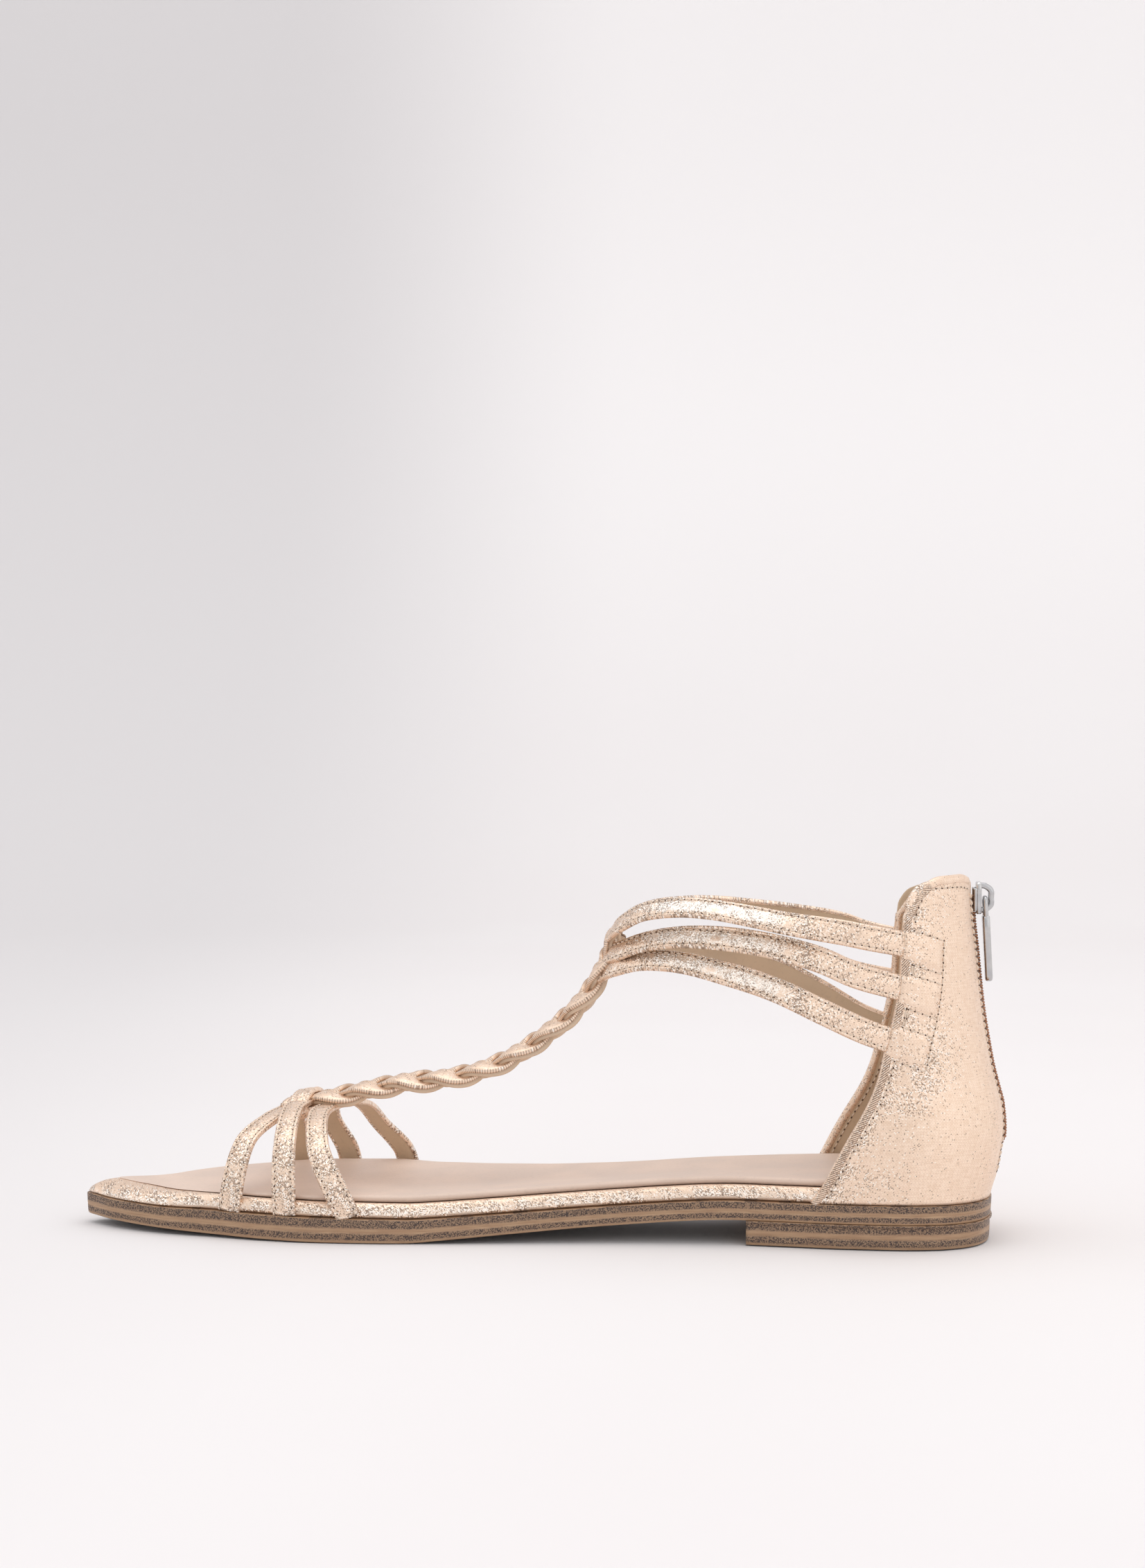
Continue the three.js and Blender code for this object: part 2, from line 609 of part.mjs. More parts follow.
// The slot for the zip, open at the top and round at its foot
function zipSlot() {
  const radius = ZIP_SLOT / 2;
  const foot = counterBase + ZIP_FOOT;
  const shape = new THREE.Shape();
  shape.moveTo(-radius, foot + radius);
  shape.absarc(0, foot + radius, radius, Math.PI, 2 * Math.PI, false);
  shape.lineTo(radius, counterBase + COUNTER_HEIGHT * 1.2);
  shape.lineTo(-radius, counterBase + COUNTER_HEIGHT * 1.2);
  const depth = HEEL_BACK * 1.2;
  const geometry = new THREE.ExtrudeGeometry(shape, { depth, bevelEnabled: false, curveSegments: 8 });
  geometry.deleteAttribute("normal");
  geometry.deleteAttribute("uv");
  geometry.rotateX(Math.PI / 2);
  geometry.rotateZ(Math.PI / 2);
  geometry.translate(HEEL_BACK * 0.4, 0, 0);
  return solidFrom(geometry);
}

function heelCounter() {
  let solid = counterWall();
  [TOP_STRAP, MIDDLE_STRAP, LOWER_STRAP].forEach(([row]) => {
    solid = solid.add(strapPatch(-1, row)).add(strapPatch(1, row));
  });
  return geometryOf(filled(solid.subtract(zipSlot())));
}

// Sweep of a closed section along stations, each with a point, a direction across and one outward
function sweep(stations, section) {
  const vertices = [];
  const triangles = [];
  stations.forEach(({ point, across, outward }) => {
    section.forEach(([a, o]) => {
      vertices.push(...point.clone().addScaledVector(across, a).addScaledVector(outward, o).toArray());
    });
  });
  const n = section.length;
  for (let s = 0; s < stations.length - 1; s += 1) {
    for (let k = 0; k < n; k += 1) {
      const a = s * n + k;
      const b = s * n + ((k + 1) % n);
      triangles.push(a, b, b + n, a, b + n, a + n);
    }
  }
  const last = (stations.length - 1) * n;
  for (let k = 1; k < n - 1; k += 1) {
    triangles.push(0, k + 1, k);
    triangles.push(last, last + k, last + k + 1);
  }
  return geometryFrom(vertices, triangles);
}

// A flat band with rounded edges, run counterclockwise seen against the direction of the sweep
function bandSection(width, thickness) {
  const half = width / 2;
  const out = thickness / 2;
  const edge = Math.min(0.8, half / 2);
  const soft = out * 0.4;
  return [
    [-half, -soft], [-half + edge, -out], [half - edge, -out], [half, -soft],
    [half, soft], [half - edge, out], [-half + edge, out], [-half, soft],
  ];
}

// Frames along a curve of points with wanted outward directions
function framed(points, outwards) {
  return points.map((point, i) => {
    const ahead = points[Math.min(points.length - 1, i + 1)];
    const behind = points[Math.max(0, i - 1)];
    const tangent = ahead.clone().sub(behind).normalize();
    const outward = outwards[i].clone().addScaledVector(tangent, -outwards[i].dot(tangent)).normalize();
    const across = outward.clone().cross(tangent);
    return { point, across, outward, tangent };
  });
}

// One toe strap, an arch from the outer edge of the sole over the foot to the inner edge
const TOE_STEPS = 18;
const RIDGE_SIDE = 0.157;
const OUTER_ARCH = 2.5;
const INNER_ARCH = 2.1;
function toeStrap(name) {
  const alongStrap = column(TOE_STRAPS, "around", name);
  const ridge = RIDGE_SIDE * BALL_WIDTH;
  const footInset = EDGE_MARGIN / 3 + STRAP_THICKNESS / 2;
  const arch = TOE_RISE[name] * TOE_ARCH;
  const reach = [-1, 1].map((side) => {
    const foot = angleOf(alongStrap(side < 0 ? 0 : 1));
    const normal = outlineNormal(foot, side);
    const edge = side * halfWidth(foot, side);
    return { normal, half: Math.abs(edge - ridge) - footInset / Math.abs(normal.y) };
  });
  const points = [];
  const outwards = [];
  for (let i = 0; i <= TOE_STEPS; i += 1) {
    const share = i / TOE_STEPS;
    const angle = Math.PI * (share - 0.035 * Math.sin(4 * Math.PI * share));
    const x = xAt(alongStrap(share));
    const side = share < 0.5 ? -1 : 1;
    const { normal, half } = side < 0 ? reach[0] : reach[1];
    const power = side < 0 ? OUTER_ARCH : INNER_ARCH;
    const base = soleTop(x) + CLEARANCE;
    const [c, s] = [Math.abs(Math.cos(angle)), Math.sin(Math.min(Math.PI, angle))];
    const y = ridge + side * half * c ** (2 / power);
    const z = base + arch * Math.max(0, s) ** (2 / power);
    points.push(new THREE.Vector3(x, y, z));
    const level = c ** (2 - 2 / power) / half;
    const rise = Math.max(0, s) ** (2 - 2 / power) / arch;
    outwards.push(new THREE.Vector3(normal.x * level * c, normal.y * level, rise).normalize());
  }
  const stations = framed(points, outwards);
  stations[0].tangent.set(0, 0, 1);
  [stations[0], stations[TOE_STEPS]].forEach((end) => {
    end.outward.setZ(0).normalize();
    end.across.setZ(0).normalize();
  });
  return solidFrom(sweep(stations, bandSection(TOE_STRAP_WIDTH, STRAP_THICKNESS)));
}

// One ankle strap, from the counter's front edge round the instep to the other front edge
function ankleStrap(rows) {
  const edge = rows.map((row, i) => {
    const sides = [-1, 1].map((side) => {
      const level = side < 0 ? row.outerHeight : row.innerHeight;
      if (i > 0) {
        return new THREE.Vector3(
          xAt(row.along), side * row.side * BALL_WIDTH, counterBase + level * COUNTER_HEIGHT,
        );
      }
      const end = counterPoint(side, 1, level / counterTop(1, side), UPPER_WALL / 2);
      return end.setX(end.x - CLEARANCE);
    });
    return { sides, lean: row.lean };
  });
  const outer = edge.map(({ sides }) => sides[0]);
  const inner = edge.map(({ sides }) => sides[1]).slice(0, -1).reverse();
  const leans = [...rows, ...rows.slice(0, -1).reverse()].map((row) => row.lean);
  const curve = new THREE.CatmullRomCurve3([...outer, ...inner], false, "centripetal");
  const leanAt = interpolator(leans.map((lean, i) => i / (leans.length - 1)), leans);
  const steps = 22;
  const points = [];
  const outwards = [];
  const up = new THREE.Vector3(0, 0, 1);
  for (let i = 0; i <= steps; i += 1) {
    const share = i / steps;
    const lean = THREE.MathUtils.degToRad(leanAt(share));
    const level = curve.getTangent(share).setZ(0).normalize();
    const flat = up.clone().cross(level);
    points.push(curve.getPoint(share));
    outwards.push(flat.multiplyScalar(Math.cos(lean)).addScaledVector(up, Math.sin(lean)));
  }
  const stations = framed(points, outwards);
  return solidFrom(squareToCounter(sweep(stations, bandSection(ANKLE_STRAP_WIDTH, STRAP_THICKNESS)), 8));
}

// Moves the two end rings of a strap so that they run along the counter's front edge
function squareToCounter(geometry, ring) {
  const position = geometry.attributes.position;
  const last = position.count - ring;
  for (let k = 0; k < ring; k += 1) {
    [[k, -1], [last + k, 1]].forEach(([index, side]) => {
      const level = (position.getZ(index) - counterBase) / COUNTER_HEIGHT / counterTop(1, side);
      position.setX(index, counterPoint(side, 1, level, UPPER_WALL / 2).x - CLEARANCE);
    });
  }
  return geometry;
}

// The braid: three flat strands over and under each other
const BRAID_STEPS = 36;
function braidStrand(phase) {
  const curve = new THREE.CatmullRomCurve3(BRAID.map((row) => new THREE.Vector3(
    xAt(row.along), row.side * BALL_WIDTH, row.height * COUNTER_HEIGHT,
  )), false, "centripetal");
  const length = curve.getLength();
  const points = [];
  const outwards = [];
  for (let i = 0; i <= BRAID_STEPS; i += 1) {
    const share = i / BRAID_STEPS;
    const turn = (2 * Math.PI * share * length) / BRAID_PERIOD + phase;
    const tangent = curve.getTangentAt(share);
    const side = new THREE.Vector3(0, 1, 0);
    const out = tangent.clone().cross(side).normalize();
    if (out.z < 0) out.negate();
    const point = curve.getPointAt(share);
    point.addScaledVector(side, BRAID_SWING * Math.sin(turn));
    point.addScaledVector(out, BRAID_RISE * Math.sin(2 * turn));
    const lean = THREE.MathUtils.degToRad(BRAID_LEAN) * Math.sin(turn);
    points.push(point);
    outwards.push(out.multiplyScalar(Math.cos(lean)).addScaledVector(side, Math.sin(lean)));
  }
  return solidFrom(sweep(framed(points, outwards), strandSection()));
}

function strandSection() {
  const half = STRAND_WIDTH / 2;
  const out = STRAND_THICKNESS / 2;
  return [[-half, 0], [-half * 0.6, -out], [half * 0.6, -out], [half, 0], [half * 0.6, out], [-half * 0.6, out]];
}

function strapUpper() {
  let solid = braidStrand(0);
  [1, 2].forEach((k) => {
    solid = solid.add(braidStrand((k * 2 * Math.PI) / 3));
  });
  Object.keys(TOE_RISE).forEach((name) => {
    solid = solid.add(toeStrap(name));
  });
  [TOP_STRAP, MIDDLE_STRAP, LOWER_STRAP].forEach((rows) => {
    solid = solid.add(ankleStrap(rows));
  });
  return geometryOf(filled(solid));
}

// Zip. The tape fills the slot with the coil standing on it.
const zipTop = 0.985;
const backFace = (level) => xAt(-counterBack(level));
const zipHeight = (level) => counterBase + outerTop(0) * COUNTER_HEIGHT * level;
function zipTape() {
  const steps = 18;
  const foot = (ZIP_FOOT + CLEARANCE) / (outerTop(0) * COUNTER_HEIGHT);
  const stations = [];
  for (let i = 0; i <= steps; i += 1) {
    const level = foot + ((zipTop - foot) * i) / steps;
    const point = new THREE.Vector3(backFace(level) - UPPER_WALL / 2, 0, zipHeight(level));
    const narrow = i === 0 ? 0.35 : 1;
    stations.push({
      point,
      across: new THREE.Vector3(0, -narrow, 0),
      outward: new THREE.Vector3(1, 0, 0),
    });
  }
  const half = ZIP_SLOT / 2 - CLEARANCE;
  const low = -ZIP_TAPE / 2;
  const high = ZIP_TAPE / 2;
  const section = [
    [-half, low], [half, low], [half, high], [COIL_WIDTH / 2, high],
    [COIL_WIDTH * 0.32, high + COIL_HEIGHT], [-COIL_WIDTH * 0.32, high + COIL_HEIGHT],
    [-COIL_WIDTH / 2, high], [-half, high],
  ];
  return sweep(stations, section);
}

function boxSolid(width, depth, height, x, y, z, tilt = 0) {
  const geometry = new THREE.BoxGeometry(width, depth, height);
  geometry.deleteAttribute("normal");
  geometry.deleteAttribute("uv");
  geometry.rotateY(tilt);
  geometry.translate(x, y, z);
  return solidFrom(geometry);
}

// Slider: a plate over the coil, with a bridge that holds the pull
const sliderTop = zipHeight(1) + 0.6;
const sliderFoot = 1 - SLIDER_LENGTH / COUNTER_HEIGHT;
const sliderFace = backFace(sliderFoot) - UPPER_WALL / 2 + ZIP_TAPE / 2 + COIL_HEIGHT + CLEARANCE;
const bridgeGap = PULL_WIRE + 2 * CLEARANCE;
const bridgeX = sliderFace + SLIDER_PLATE + bridgeGap + BRIDGE_BAR / 2;
const pivotX = sliderFace + SLIDER_PLATE + CLEARANCE + PULL_WIRE / 2;
const pivotZ = sliderTop - SLIDER_LENGTH / 2;

function zipSlider() {
  const radius = SLIDER_WIDTH / 2;
  const shape = new THREE.Shape();
  shape.moveTo(-radius * 0.7, -SLIDER_LENGTH / 2);
  shape.lineTo(radius * 0.7, -SLIDER_LENGTH / 2);
  shape.quadraticCurveTo(radius, 0, radius, SLIDER_LENGTH / 2 - SLIDER_CORNER);
  shape.quadraticCurveTo(radius, SLIDER_LENGTH / 2, radius - SLIDER_CORNER, SLIDER_LENGTH / 2);
  shape.lineTo(-radius + SLIDER_CORNER, SLIDER_LENGTH / 2);
  shape.quadraticCurveTo(-radius, SLIDER_LENGTH / 2, -radius, SLIDER_LENGTH / 2 - SLIDER_CORNER);
  shape.quadraticCurveTo(-radius, 0, -radius * 0.7, -SLIDER_LENGTH / 2);
  const plate = new THREE.ExtrudeGeometry(shape, { depth: SLIDER_PLATE, bevelEnabled: false, curveSegments: 4 });
  plate.deleteAttribute("normal");
  plate.deleteAttribute("uv");
  plate.rotateX(Math.PI / 2);
  plate.rotateZ(Math.PI / 2);
  plate.translate(sliderFace, 0, pivotZ);
  const reach = bridgeX + BRIDGE_BAR / 2 - sliderFace - SLIDER_PLATE / 2;
  const post = SLIDER_LENGTH / 2 - BRIDGE_BAR;
  const postX = sliderFace + SLIDER_PLATE / 2 + reach / 2;
  let solid = solidFrom(plate);
  [-1, 1].forEach((end) => {
    solid = solid.add(boxSolid(reach, BRIDGE_WIDTH, BRIDGE_BAR, postX, 0, pivotZ + end * post));
  });
  const bar = boxSolid(BRIDGE_BAR, BRIDGE_WIDTH, 2 * post + BRIDGE_BAR, bridgeX, 0, pivotZ);
  return geometryOf(solid.add(bar));
}

// Pull: a wire eye through the bridge and a flat tab, hanging a little off the counter
function zipPull() {
  const tilt = THREE.MathUtils.degToRad(PULL_TILT);
  const half = PULL_WIDTH / 2 - PULL_WIRE / 2;
  const parts = [boxSolid(PULL_WIRE, PULL_WIDTH, PULL_WIRE, 0, 0, 0)];
  [-1, 1].forEach((side) => {
    parts.push(boxSolid(PULL_WIRE, PULL_WIRE, PULL_EYE, 0, side * half, -PULL_EYE / 2 + PULL_WIRE / 2));
  });
  const shape = new THREE.Shape();
  const wide = PULL_WIDTH / 2;
  shape.moveTo(-wide, 0);
  shape.lineTo(-wide * 0.8, -PULL_TAB + wide * 0.8);
  shape.absarc(0, -PULL_TAB + wide * 0.8, wide * 0.8, Math.PI, 2 * Math.PI, false);
  shape.lineTo(wide, 0);
  const tab = new THREE.ExtrudeGeometry(shape, { depth: PULL_THICKNESS, bevelEnabled: false, curveSegments: 8 });
  tab.deleteAttribute("normal");
  tab.deleteAttribute("uv");
  tab.rotateX(Math.PI / 2);
  tab.rotateZ(Math.PI / 2);
  tab.translate(-PULL_THICKNESS / 2, 0, -PULL_EYE + PULL_WIRE);
  let solid = solidFrom(tab);
  parts.forEach((part) => {
    solid = solid.add(part);
  });
  const geometry = geometryOf(solid);
  geometry.rotateY(-tilt);
  geometry.translate(pivotX, 0, pivotZ);
  return geometry;
}

// Assembly
const sandal = new THREE.Group();
function place(name, geometry, material) {
  const mesh = new THREE.Mesh(geometry, material);
  mesh.name = name;
  sandal.add(mesh);
}

place("outsole", outsole(), soleEdge);
place("heel_block", heelBlock(), soleEdge);
place("insole_board", insoleBoard(), metallicCloth);
place("footbed_sock", footbedSock(), footbedLeather);
place("strap_upper", strapUpper(), metallicCloth);
place("heel_counter", heelCounter(), metallicCloth);
place("zip_tape", zipTape(), zipFabric);
place("zip_slider", zipSlider(), nickel);
place("zip_pull", zipPull(), nickel);

export default sandal;
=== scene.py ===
"""A left gladiator sandal, dressed: sole, footbed, straps, braid, heel counter, zip and stitching.

Shapes are built in millimetres in the part's own frame: toe to -X, outer side of the foot to -Y, Z up
from the floor, origin under the middle of the heel.
"""

import math

import bmesh
import bpy
import numpy as np
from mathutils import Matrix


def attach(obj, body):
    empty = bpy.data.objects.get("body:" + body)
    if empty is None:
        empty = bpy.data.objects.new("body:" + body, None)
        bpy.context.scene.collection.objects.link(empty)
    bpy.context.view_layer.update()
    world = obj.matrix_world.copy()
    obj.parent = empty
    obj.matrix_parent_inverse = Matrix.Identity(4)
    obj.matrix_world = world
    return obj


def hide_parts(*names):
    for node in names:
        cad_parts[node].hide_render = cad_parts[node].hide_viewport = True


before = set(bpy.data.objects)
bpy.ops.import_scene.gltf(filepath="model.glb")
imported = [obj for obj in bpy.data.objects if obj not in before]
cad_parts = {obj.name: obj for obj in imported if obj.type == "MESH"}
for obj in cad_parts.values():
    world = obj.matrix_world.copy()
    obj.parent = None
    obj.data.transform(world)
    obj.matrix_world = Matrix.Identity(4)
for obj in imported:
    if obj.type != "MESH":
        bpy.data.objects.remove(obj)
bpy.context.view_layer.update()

# Sizes of the part, in millimetres
MM = 0.001
LENGTH = 256
BALL_WIDTH = 76.5
HEEL_BACK = 29
HEEL_LIFT = 6.9
BREAST = 68
TOE_SPRING = 2.6
SOLE_THICKNESS = 6.6
CLEARANCE = 0.3
EDGE_MARGIN = 0.3
UPPER_WALL = 1.8
BOARD_HEIGHT = 4
SOCK_MARGIN = 2.3
SOCK_THICKNESS = 1.5
SOCK_DISH = 0.7
COUNTER_HEIGHT = 88
TOE_ARCH = 27
TOE_STRAP_WIDTH = 6.1
ANKLE_STRAP_WIDTH = 7
STRAP_THICKNESS = 1.8
BRAID_PERIOD = 34.5
BRAID_SWING = 4.5
BRAID_RISE = 1.3
STRAND_LEAN = 14
STRAND_WIDTH = 6.4
STRAND_THICKNESS = 2.4
PATCH_LENGTH = 11
PATCH_STEP = 0.5
PATCH_SLOPE = 0.32
ZIP_SLOT = 7
ZIP_FOOT = 9.5
ZIP_TAPE = 0.9
COIL_WIDTH = 3.4
COIL_HEIGHT = 1.1
COIL_PITCH = 0.78
COIL_WIRE = 0.34
SLIDER_WIDTH = 6
SLIDER_LENGTH = 9
SLIDER_PLATE = 1.4
BRIDGE_WIDTH = 1.7
BRIDGE_BAR = 1.1
PULL_WIRE = 1.5
PULL_EYE = 6.4
PULL_TAB = 18.5
PULL_WIDTH = 5.4
PULL_THICKNESS = 2
PULL_TILT = 3
STITCH_PITCH = 2
STITCH_RADIUS = 0.22
STITCH_SHARE = 0.66
STITCH_SIDES = 6
STITCH_INSET = 1.1
HOLE_RADIUS = 0.34
WEAVE = 0.42
FLAKE = 0.3
CAMERA_PLACE = (-0.0357, -0.8538, 0.1539)
CAMERA_TURN = (88.1, 0, 3.5)
CAMERA_LENS = 70
CAMERA_SENSOR = 36

# Outline of the sole from above: along is a share of LENGTH from the heel's back, outer and inner are
# shares of BALL_WIDTH to each side of the line from the heel's middle
OUTLINE = (
    ("along", "outer", "inner"),
    (0, 0.052, -0.052),
    (0.005, 0.183, 0.078),
    (0.016, 0.268, 0.176),
    (0.035, 0.333, 0.281),
    (0.062, 0.376, 0.342),
    (0.102, 0.392, 0.379),
    (0.16, 0.379, 0.379),
    (0.219, 0.346, 0.353),
    (0.297, 0.307, 0.294),
    (0.375, 0.301, 0.275),
    (0.453, 0.314, 0.314),
    (0.531, 0.333, 0.418),
    (0.609, 0.353, 0.549),
    (0.668, 0.363, 0.627),
    (0.727, 0.357, 0.637),
    (0.785, 0.324, 0.588),
    (0.844, 0.261, 0.51),
    (0.902, 0.203, 0.392),
    (0.945, 0.131, 0.248),
    (0.969, 0.076, 0.15),
    (0.988, 0.013, 0.098),
    (1, -0.046, 0.046),
)

# Side of the sole: lift is a share of HEEL_LIFT, spring of TOE_SPRING and body of SOLE_THICKNESS
SIDE = (
    ("along", "lift", "spring", "body"),
    (0, 1, 0, 0.82),
    (0.27, 1, 0, 0.82),
    (0.415, 0.7, 0, 0.83),
    (0.515, 0.38, 0, 0.88),
    (0.59, 0.12, 0, 0.95),
    (0.633, 0, 0, 1),
    (0.711, 0, 0, 1.04),
    (0.775, 0, 0.1, 1.06),
    (0.844, 0, 0.28, 1.03),
    (0.91, 0, 0.58, 0.92),
    (0.969, 0, 0.86, 0.91),
    (1, 0, 1, 0.92),
)

# Padding of the sock, a share of SOCK_THICKNESS
SOCK_TAPER = (
    ("along", "share"),
    (0, 1),
    (0.62, 1),
    (0.76, 0.6),
    (0.88, 0.4),
    (1, 0.4),
)
SOCK_FEATHER = 0.85
TOE_FEATHER = 4.5

# Heel counter: height is a share of COUNTER_HEIGHT, back and front are shares of LENGTH, half of
# BALL_WIDTH
COUNTER = (
    ("height", "back", "half", "front"),
    (0, 0, 0.39, 0.197),
    (0.03, 0.003, 0.392, 0.189),
    (0.064, 0.007, 0.392, 0.182),
    (0.12, 0.011, 0.389, 0.172),
    (0.2, 0.014, 0.38, 0.157),
    (0.28, 0.012, 0.372, 0.141),
    (0.34, 0.007, 0.364, 0.131),
    (0.41, 0.001, 0.356, 0.123),
    (0.49, -0.004, 0.351, 0.117),
    (0.58, -0.009, 0.347, 0.109),
    (0.68, -0.013, 0.343, 0.103),
    (0.8, -0.017, 0.337, 0.1),
    (0.88, -0.02, 0.33, 0.098),
    (0.936, -0.021, 0.325, 0.096),
    (0.96, -0.022, 0.322, 0.092),
    (0.985, -0.022, 0.32, 0.085),
    (1, -0.022, 0.319, 0.074),
)

# Top edge of the counter from the zip (0) to the front edge (1), shares of COUNTER_HEIGHT
COUNTER_TOP = (
    ("around", "outer", "inner"),
    (0, 0.97, 0.97),
    (0.2, 0.987, 0.974),
    (0.5, 1.004, 0.966),
    (0.8, 1.002, 0.958),
    (1, 0.99, 0.95),
)

# Toe straps from the sole's outer edge (0) to its inner edge (1), shares of LENGTH
TOE_STRAPS = (
    ("around", "front", "middle", "rear"),
    (0, 0.824, 0.761, 0.691),
    (0.12, 0.82, 0.763, 0.709),
    (0.24, 0.812, 0.765, 0.729),
    (0.36, 0.79, 0.766, 0.736),
    (0.5, 0.778, 0.754, 0.722),
    (0.64, 0.779, 0.744, 0.704),
    (0.76, 0.785, 0.746, 0.691),
    (0.88, 0.784, 0.73, 0.662),
    (1, 0.784, 0.723, 0.655),
)
TOE_RISE = {"front": 0.9, "middle": 1, "rear": 0.97}
RIDGE_SIDE = 0.157
OUTER_ARCH = 2.5
INNER_ARCH = 2.1

# Ankle straps from the counter to the instep: along is a share of LENGTH, side of BALL_WIDTH, outer and
# inner are heights in shares of COUNTER_HEIGHT, lean is in degrees
ANKLE_STRAPS = {
    "top": (
        ("along", "side", "outer", "inner", "lean"),
        (0.101, 0.34, 0.8, 0.768, 4),
        (0.137, 0.353, 0.822, 0.793, 8),
        (0.161, 0.353, 0.836, 0.818, 14),
        (0.222, 0.346, 0.864, 0.853, 36),
        (0.259, 0.333, 0.884, 0.868, 44),
        (0.298, 0.307, 0.902, 0.881, 48),
        (0.333, 0.268, 0.907, 0.884, 48),
        (0.376, 0.183, 0.888, 0.872, 45),
        (0.401, 0.105, 0.846, 0.84, 40),
        (0.413, 0, 0.812, 0.812, 32),
    ),
    "middle": (
        ("along", "side", "outer", "inner", "lean"),
        (0.106, 0.34, 0.665, 0.632, 4),
        (0.149, 0.353, 0.704, 0.66, 8),
        (0.185, 0.353, 0.748, 0.705, 20),
        (0.234, 0.346, 0.788, 0.748, 36),
        (0.283, 0.32, 0.808, 0.775, 44),
        (0.333, 0.261, 0.812, 0.785, 46),
        (0.376, 0.17, 0.791, 0.774, 44),
        (0.402, 0.095, 0.76, 0.752, 38),
        (0.417, 0, 0.738, 0.738, 32),
    ),
    "lower": (
        ("along", "side", "outer", "inner", "lean"),
        (0.117, 0.34, 0.504, 0.488, 4),
        (0.141, 0.35, 0.533, 0.521, 6),
        (0.185, 0.353, 0.592, 0.597, 14),
        (0.234, 0.35, 0.658, 0.671, 28),
        (0.283, 0.327, 0.702, 0.715, 40),
        (0.333, 0.268, 0.734, 0.738, 46),
        (0.376, 0.183, 0.734, 0.736, 46),
        (0.41, 0.095, 0.706, 0.706, 38),
        (0.424, 0, 0.68, 0.68, 32),
    ),
}

# Middle of the braid: height is a share of COUNTER_HEIGHT above the floor
BRAID = (
    ("along", "side", "height"),
    (0.778, 0.155, 0.37),
    (0.746, 0.153, 0.384),
    (0.712, 0.139, 0.408),
    (0.649, 0.114, 0.45),
    (0.586, 0.088, 0.476),
    (0.54, 0.068, 0.52),
    (0.493, 0.052, 0.603),
    (0.447, 0.034, 0.724),
    (0.417, 0.019, 0.86),
    (0.403, 0.01, 0.95),
)


# Interpolation and curves
def column(table, name):
    return np.array([row[table[0].index(name)] for row in table[1:]], float)


def smooth(xs, ys):
    """Smooth interpolation without overshoot."""
    steps = np.diff(ys) / np.diff(xs)
    slope = np.empty(len(xs))
    slope[0], slope[-1] = steps[0], steps[-1]
    before, after = steps[:-1], steps[1:]
    same = before * after > 0
    slope[1:-1] = np.where(same, 2 * before * after / np.where(same, before + after, 1), 0)

    def at(x):
        x = np.clip(x, xs[0], xs[-1])
        i = np.clip(np.searchsorted(xs, x, side="right") - 1, 0, len(xs) - 2)
        width = xs[i + 1] - xs[i]
        u = (x - xs[i]) / width
        start = (1 + 2 * u) * (1 - u) ** 2 * ys[i] + u * (1 - u) ** 2 * width * slope[i]
        return start + u**2 * (3 - 2 * u) * ys[i + 1] + u**2 * (u - 1) * width * slope[i + 1]

    return at


def table_curve(table, key, name):
    return smooth(column(table, key), column(table, name))


def smoothstep(x, low, high):
    t = np.clip((x - low) / (high - low), 0, 1)
    return t * t * (3 - 2 * t)


def unit(vectors):
    vectors = np.asarray(vectors, float)
    return vectors / np.maximum(np.linalg.norm(vectors, axis=-1, keepdims=True), 1e-9)


def lengths_along(points):
    return np.concatenate([[0], np.cumsum(np.linalg.norm(np.diff(points, axis=0), axis=1))])


def read_at(where, run, values):
    """Rows of values at distances along a run."""
    return np.stack([np.interp(where, run, values[:, k]) for k in range(values.shape[1])], -1)


def resample(points, count):
    lengths = lengths_along(points)
    return read_at(np.linspace(0, lengths[-1], count + 1), lengths, points)


def spline(points, shares):
    """Centripetal curve through the points, read at shares of its point numbers."""
    p = np.vstack([2 * points[0] - points[1], points, 2 * points[-1] - points[-2]])
    at = np.asarray(shares) * (len(points) - 1)
    i = np.clip(np.floor(at).astype(int), 0, len(points) - 2)
    w = (at - i)[:, None]
    p0, p1, p2, p3 = p[i], p[i + 1], p[i + 2], p[i + 3]
    d0, d1, d2 = (
        np.linalg.norm(b - a, axis=1)[:, None] ** 0.5 for a, b in ((p0, p1), (p1, p2), (p2, p3))
    )
    t1 = ((p1 - p0) / d0 - (p2 - p0) / (d0 + d1) + (p2 - p1) / d1) * d1
    t2 = ((p2 - p1) / d1 - (p3 - p1) / (d1 + d2) + (p3 - p2) / d2) * d1
    quadratic = -3 * p1 + 3 * p2 - 2 * t1 - t2
    cubic = 2 * p1 - 2 * p2 + t1 + t2
    return p1 + t1 * w + quadratic * w**2 + cubic * w**3


def tangents(points):
    ahead = np.vstack([points[1:], points[-1:]])
    behind = np.vstack([points[:1], points[:-1]])
    return unit(ahead - behind)


def frames(points, outwards):
    """Directions along, across and out of a curve of points."""
    along = tangents(points)
    outwards = unit(outwards - along * np.sum(outwards * along, axis=1, keepdims=True))
    return along, np.cross(outwards, along), outwards


# Outline and height of the sole
def angle_of(along):
    return np.arccos(1 - 2 * np.asarray(along, float)) / math.pi


def x_at(along):
    return HEEL_BACK - along * LENGTH


def along_at(x):
    return np.clip((HEEL_BACK - x) / LENGTH, 0, 1)


OUTER_SHARE = smooth(angle_of(column(OUTLINE, "along")), column(OUTLINE, "outer"))
INNER_SHARE = smooth(angle_of(column(OUTLINE, "along")), column(OUTLINE, "inner"))
LIFT = table_curve(SIDE, "along", "lift")
SPRING = table_curve(SIDE, "along", "spring")
BODY = table_curve(SIDE, "along", "body")
TOE_MIDDLE = np.array([-194.0, 9.0])


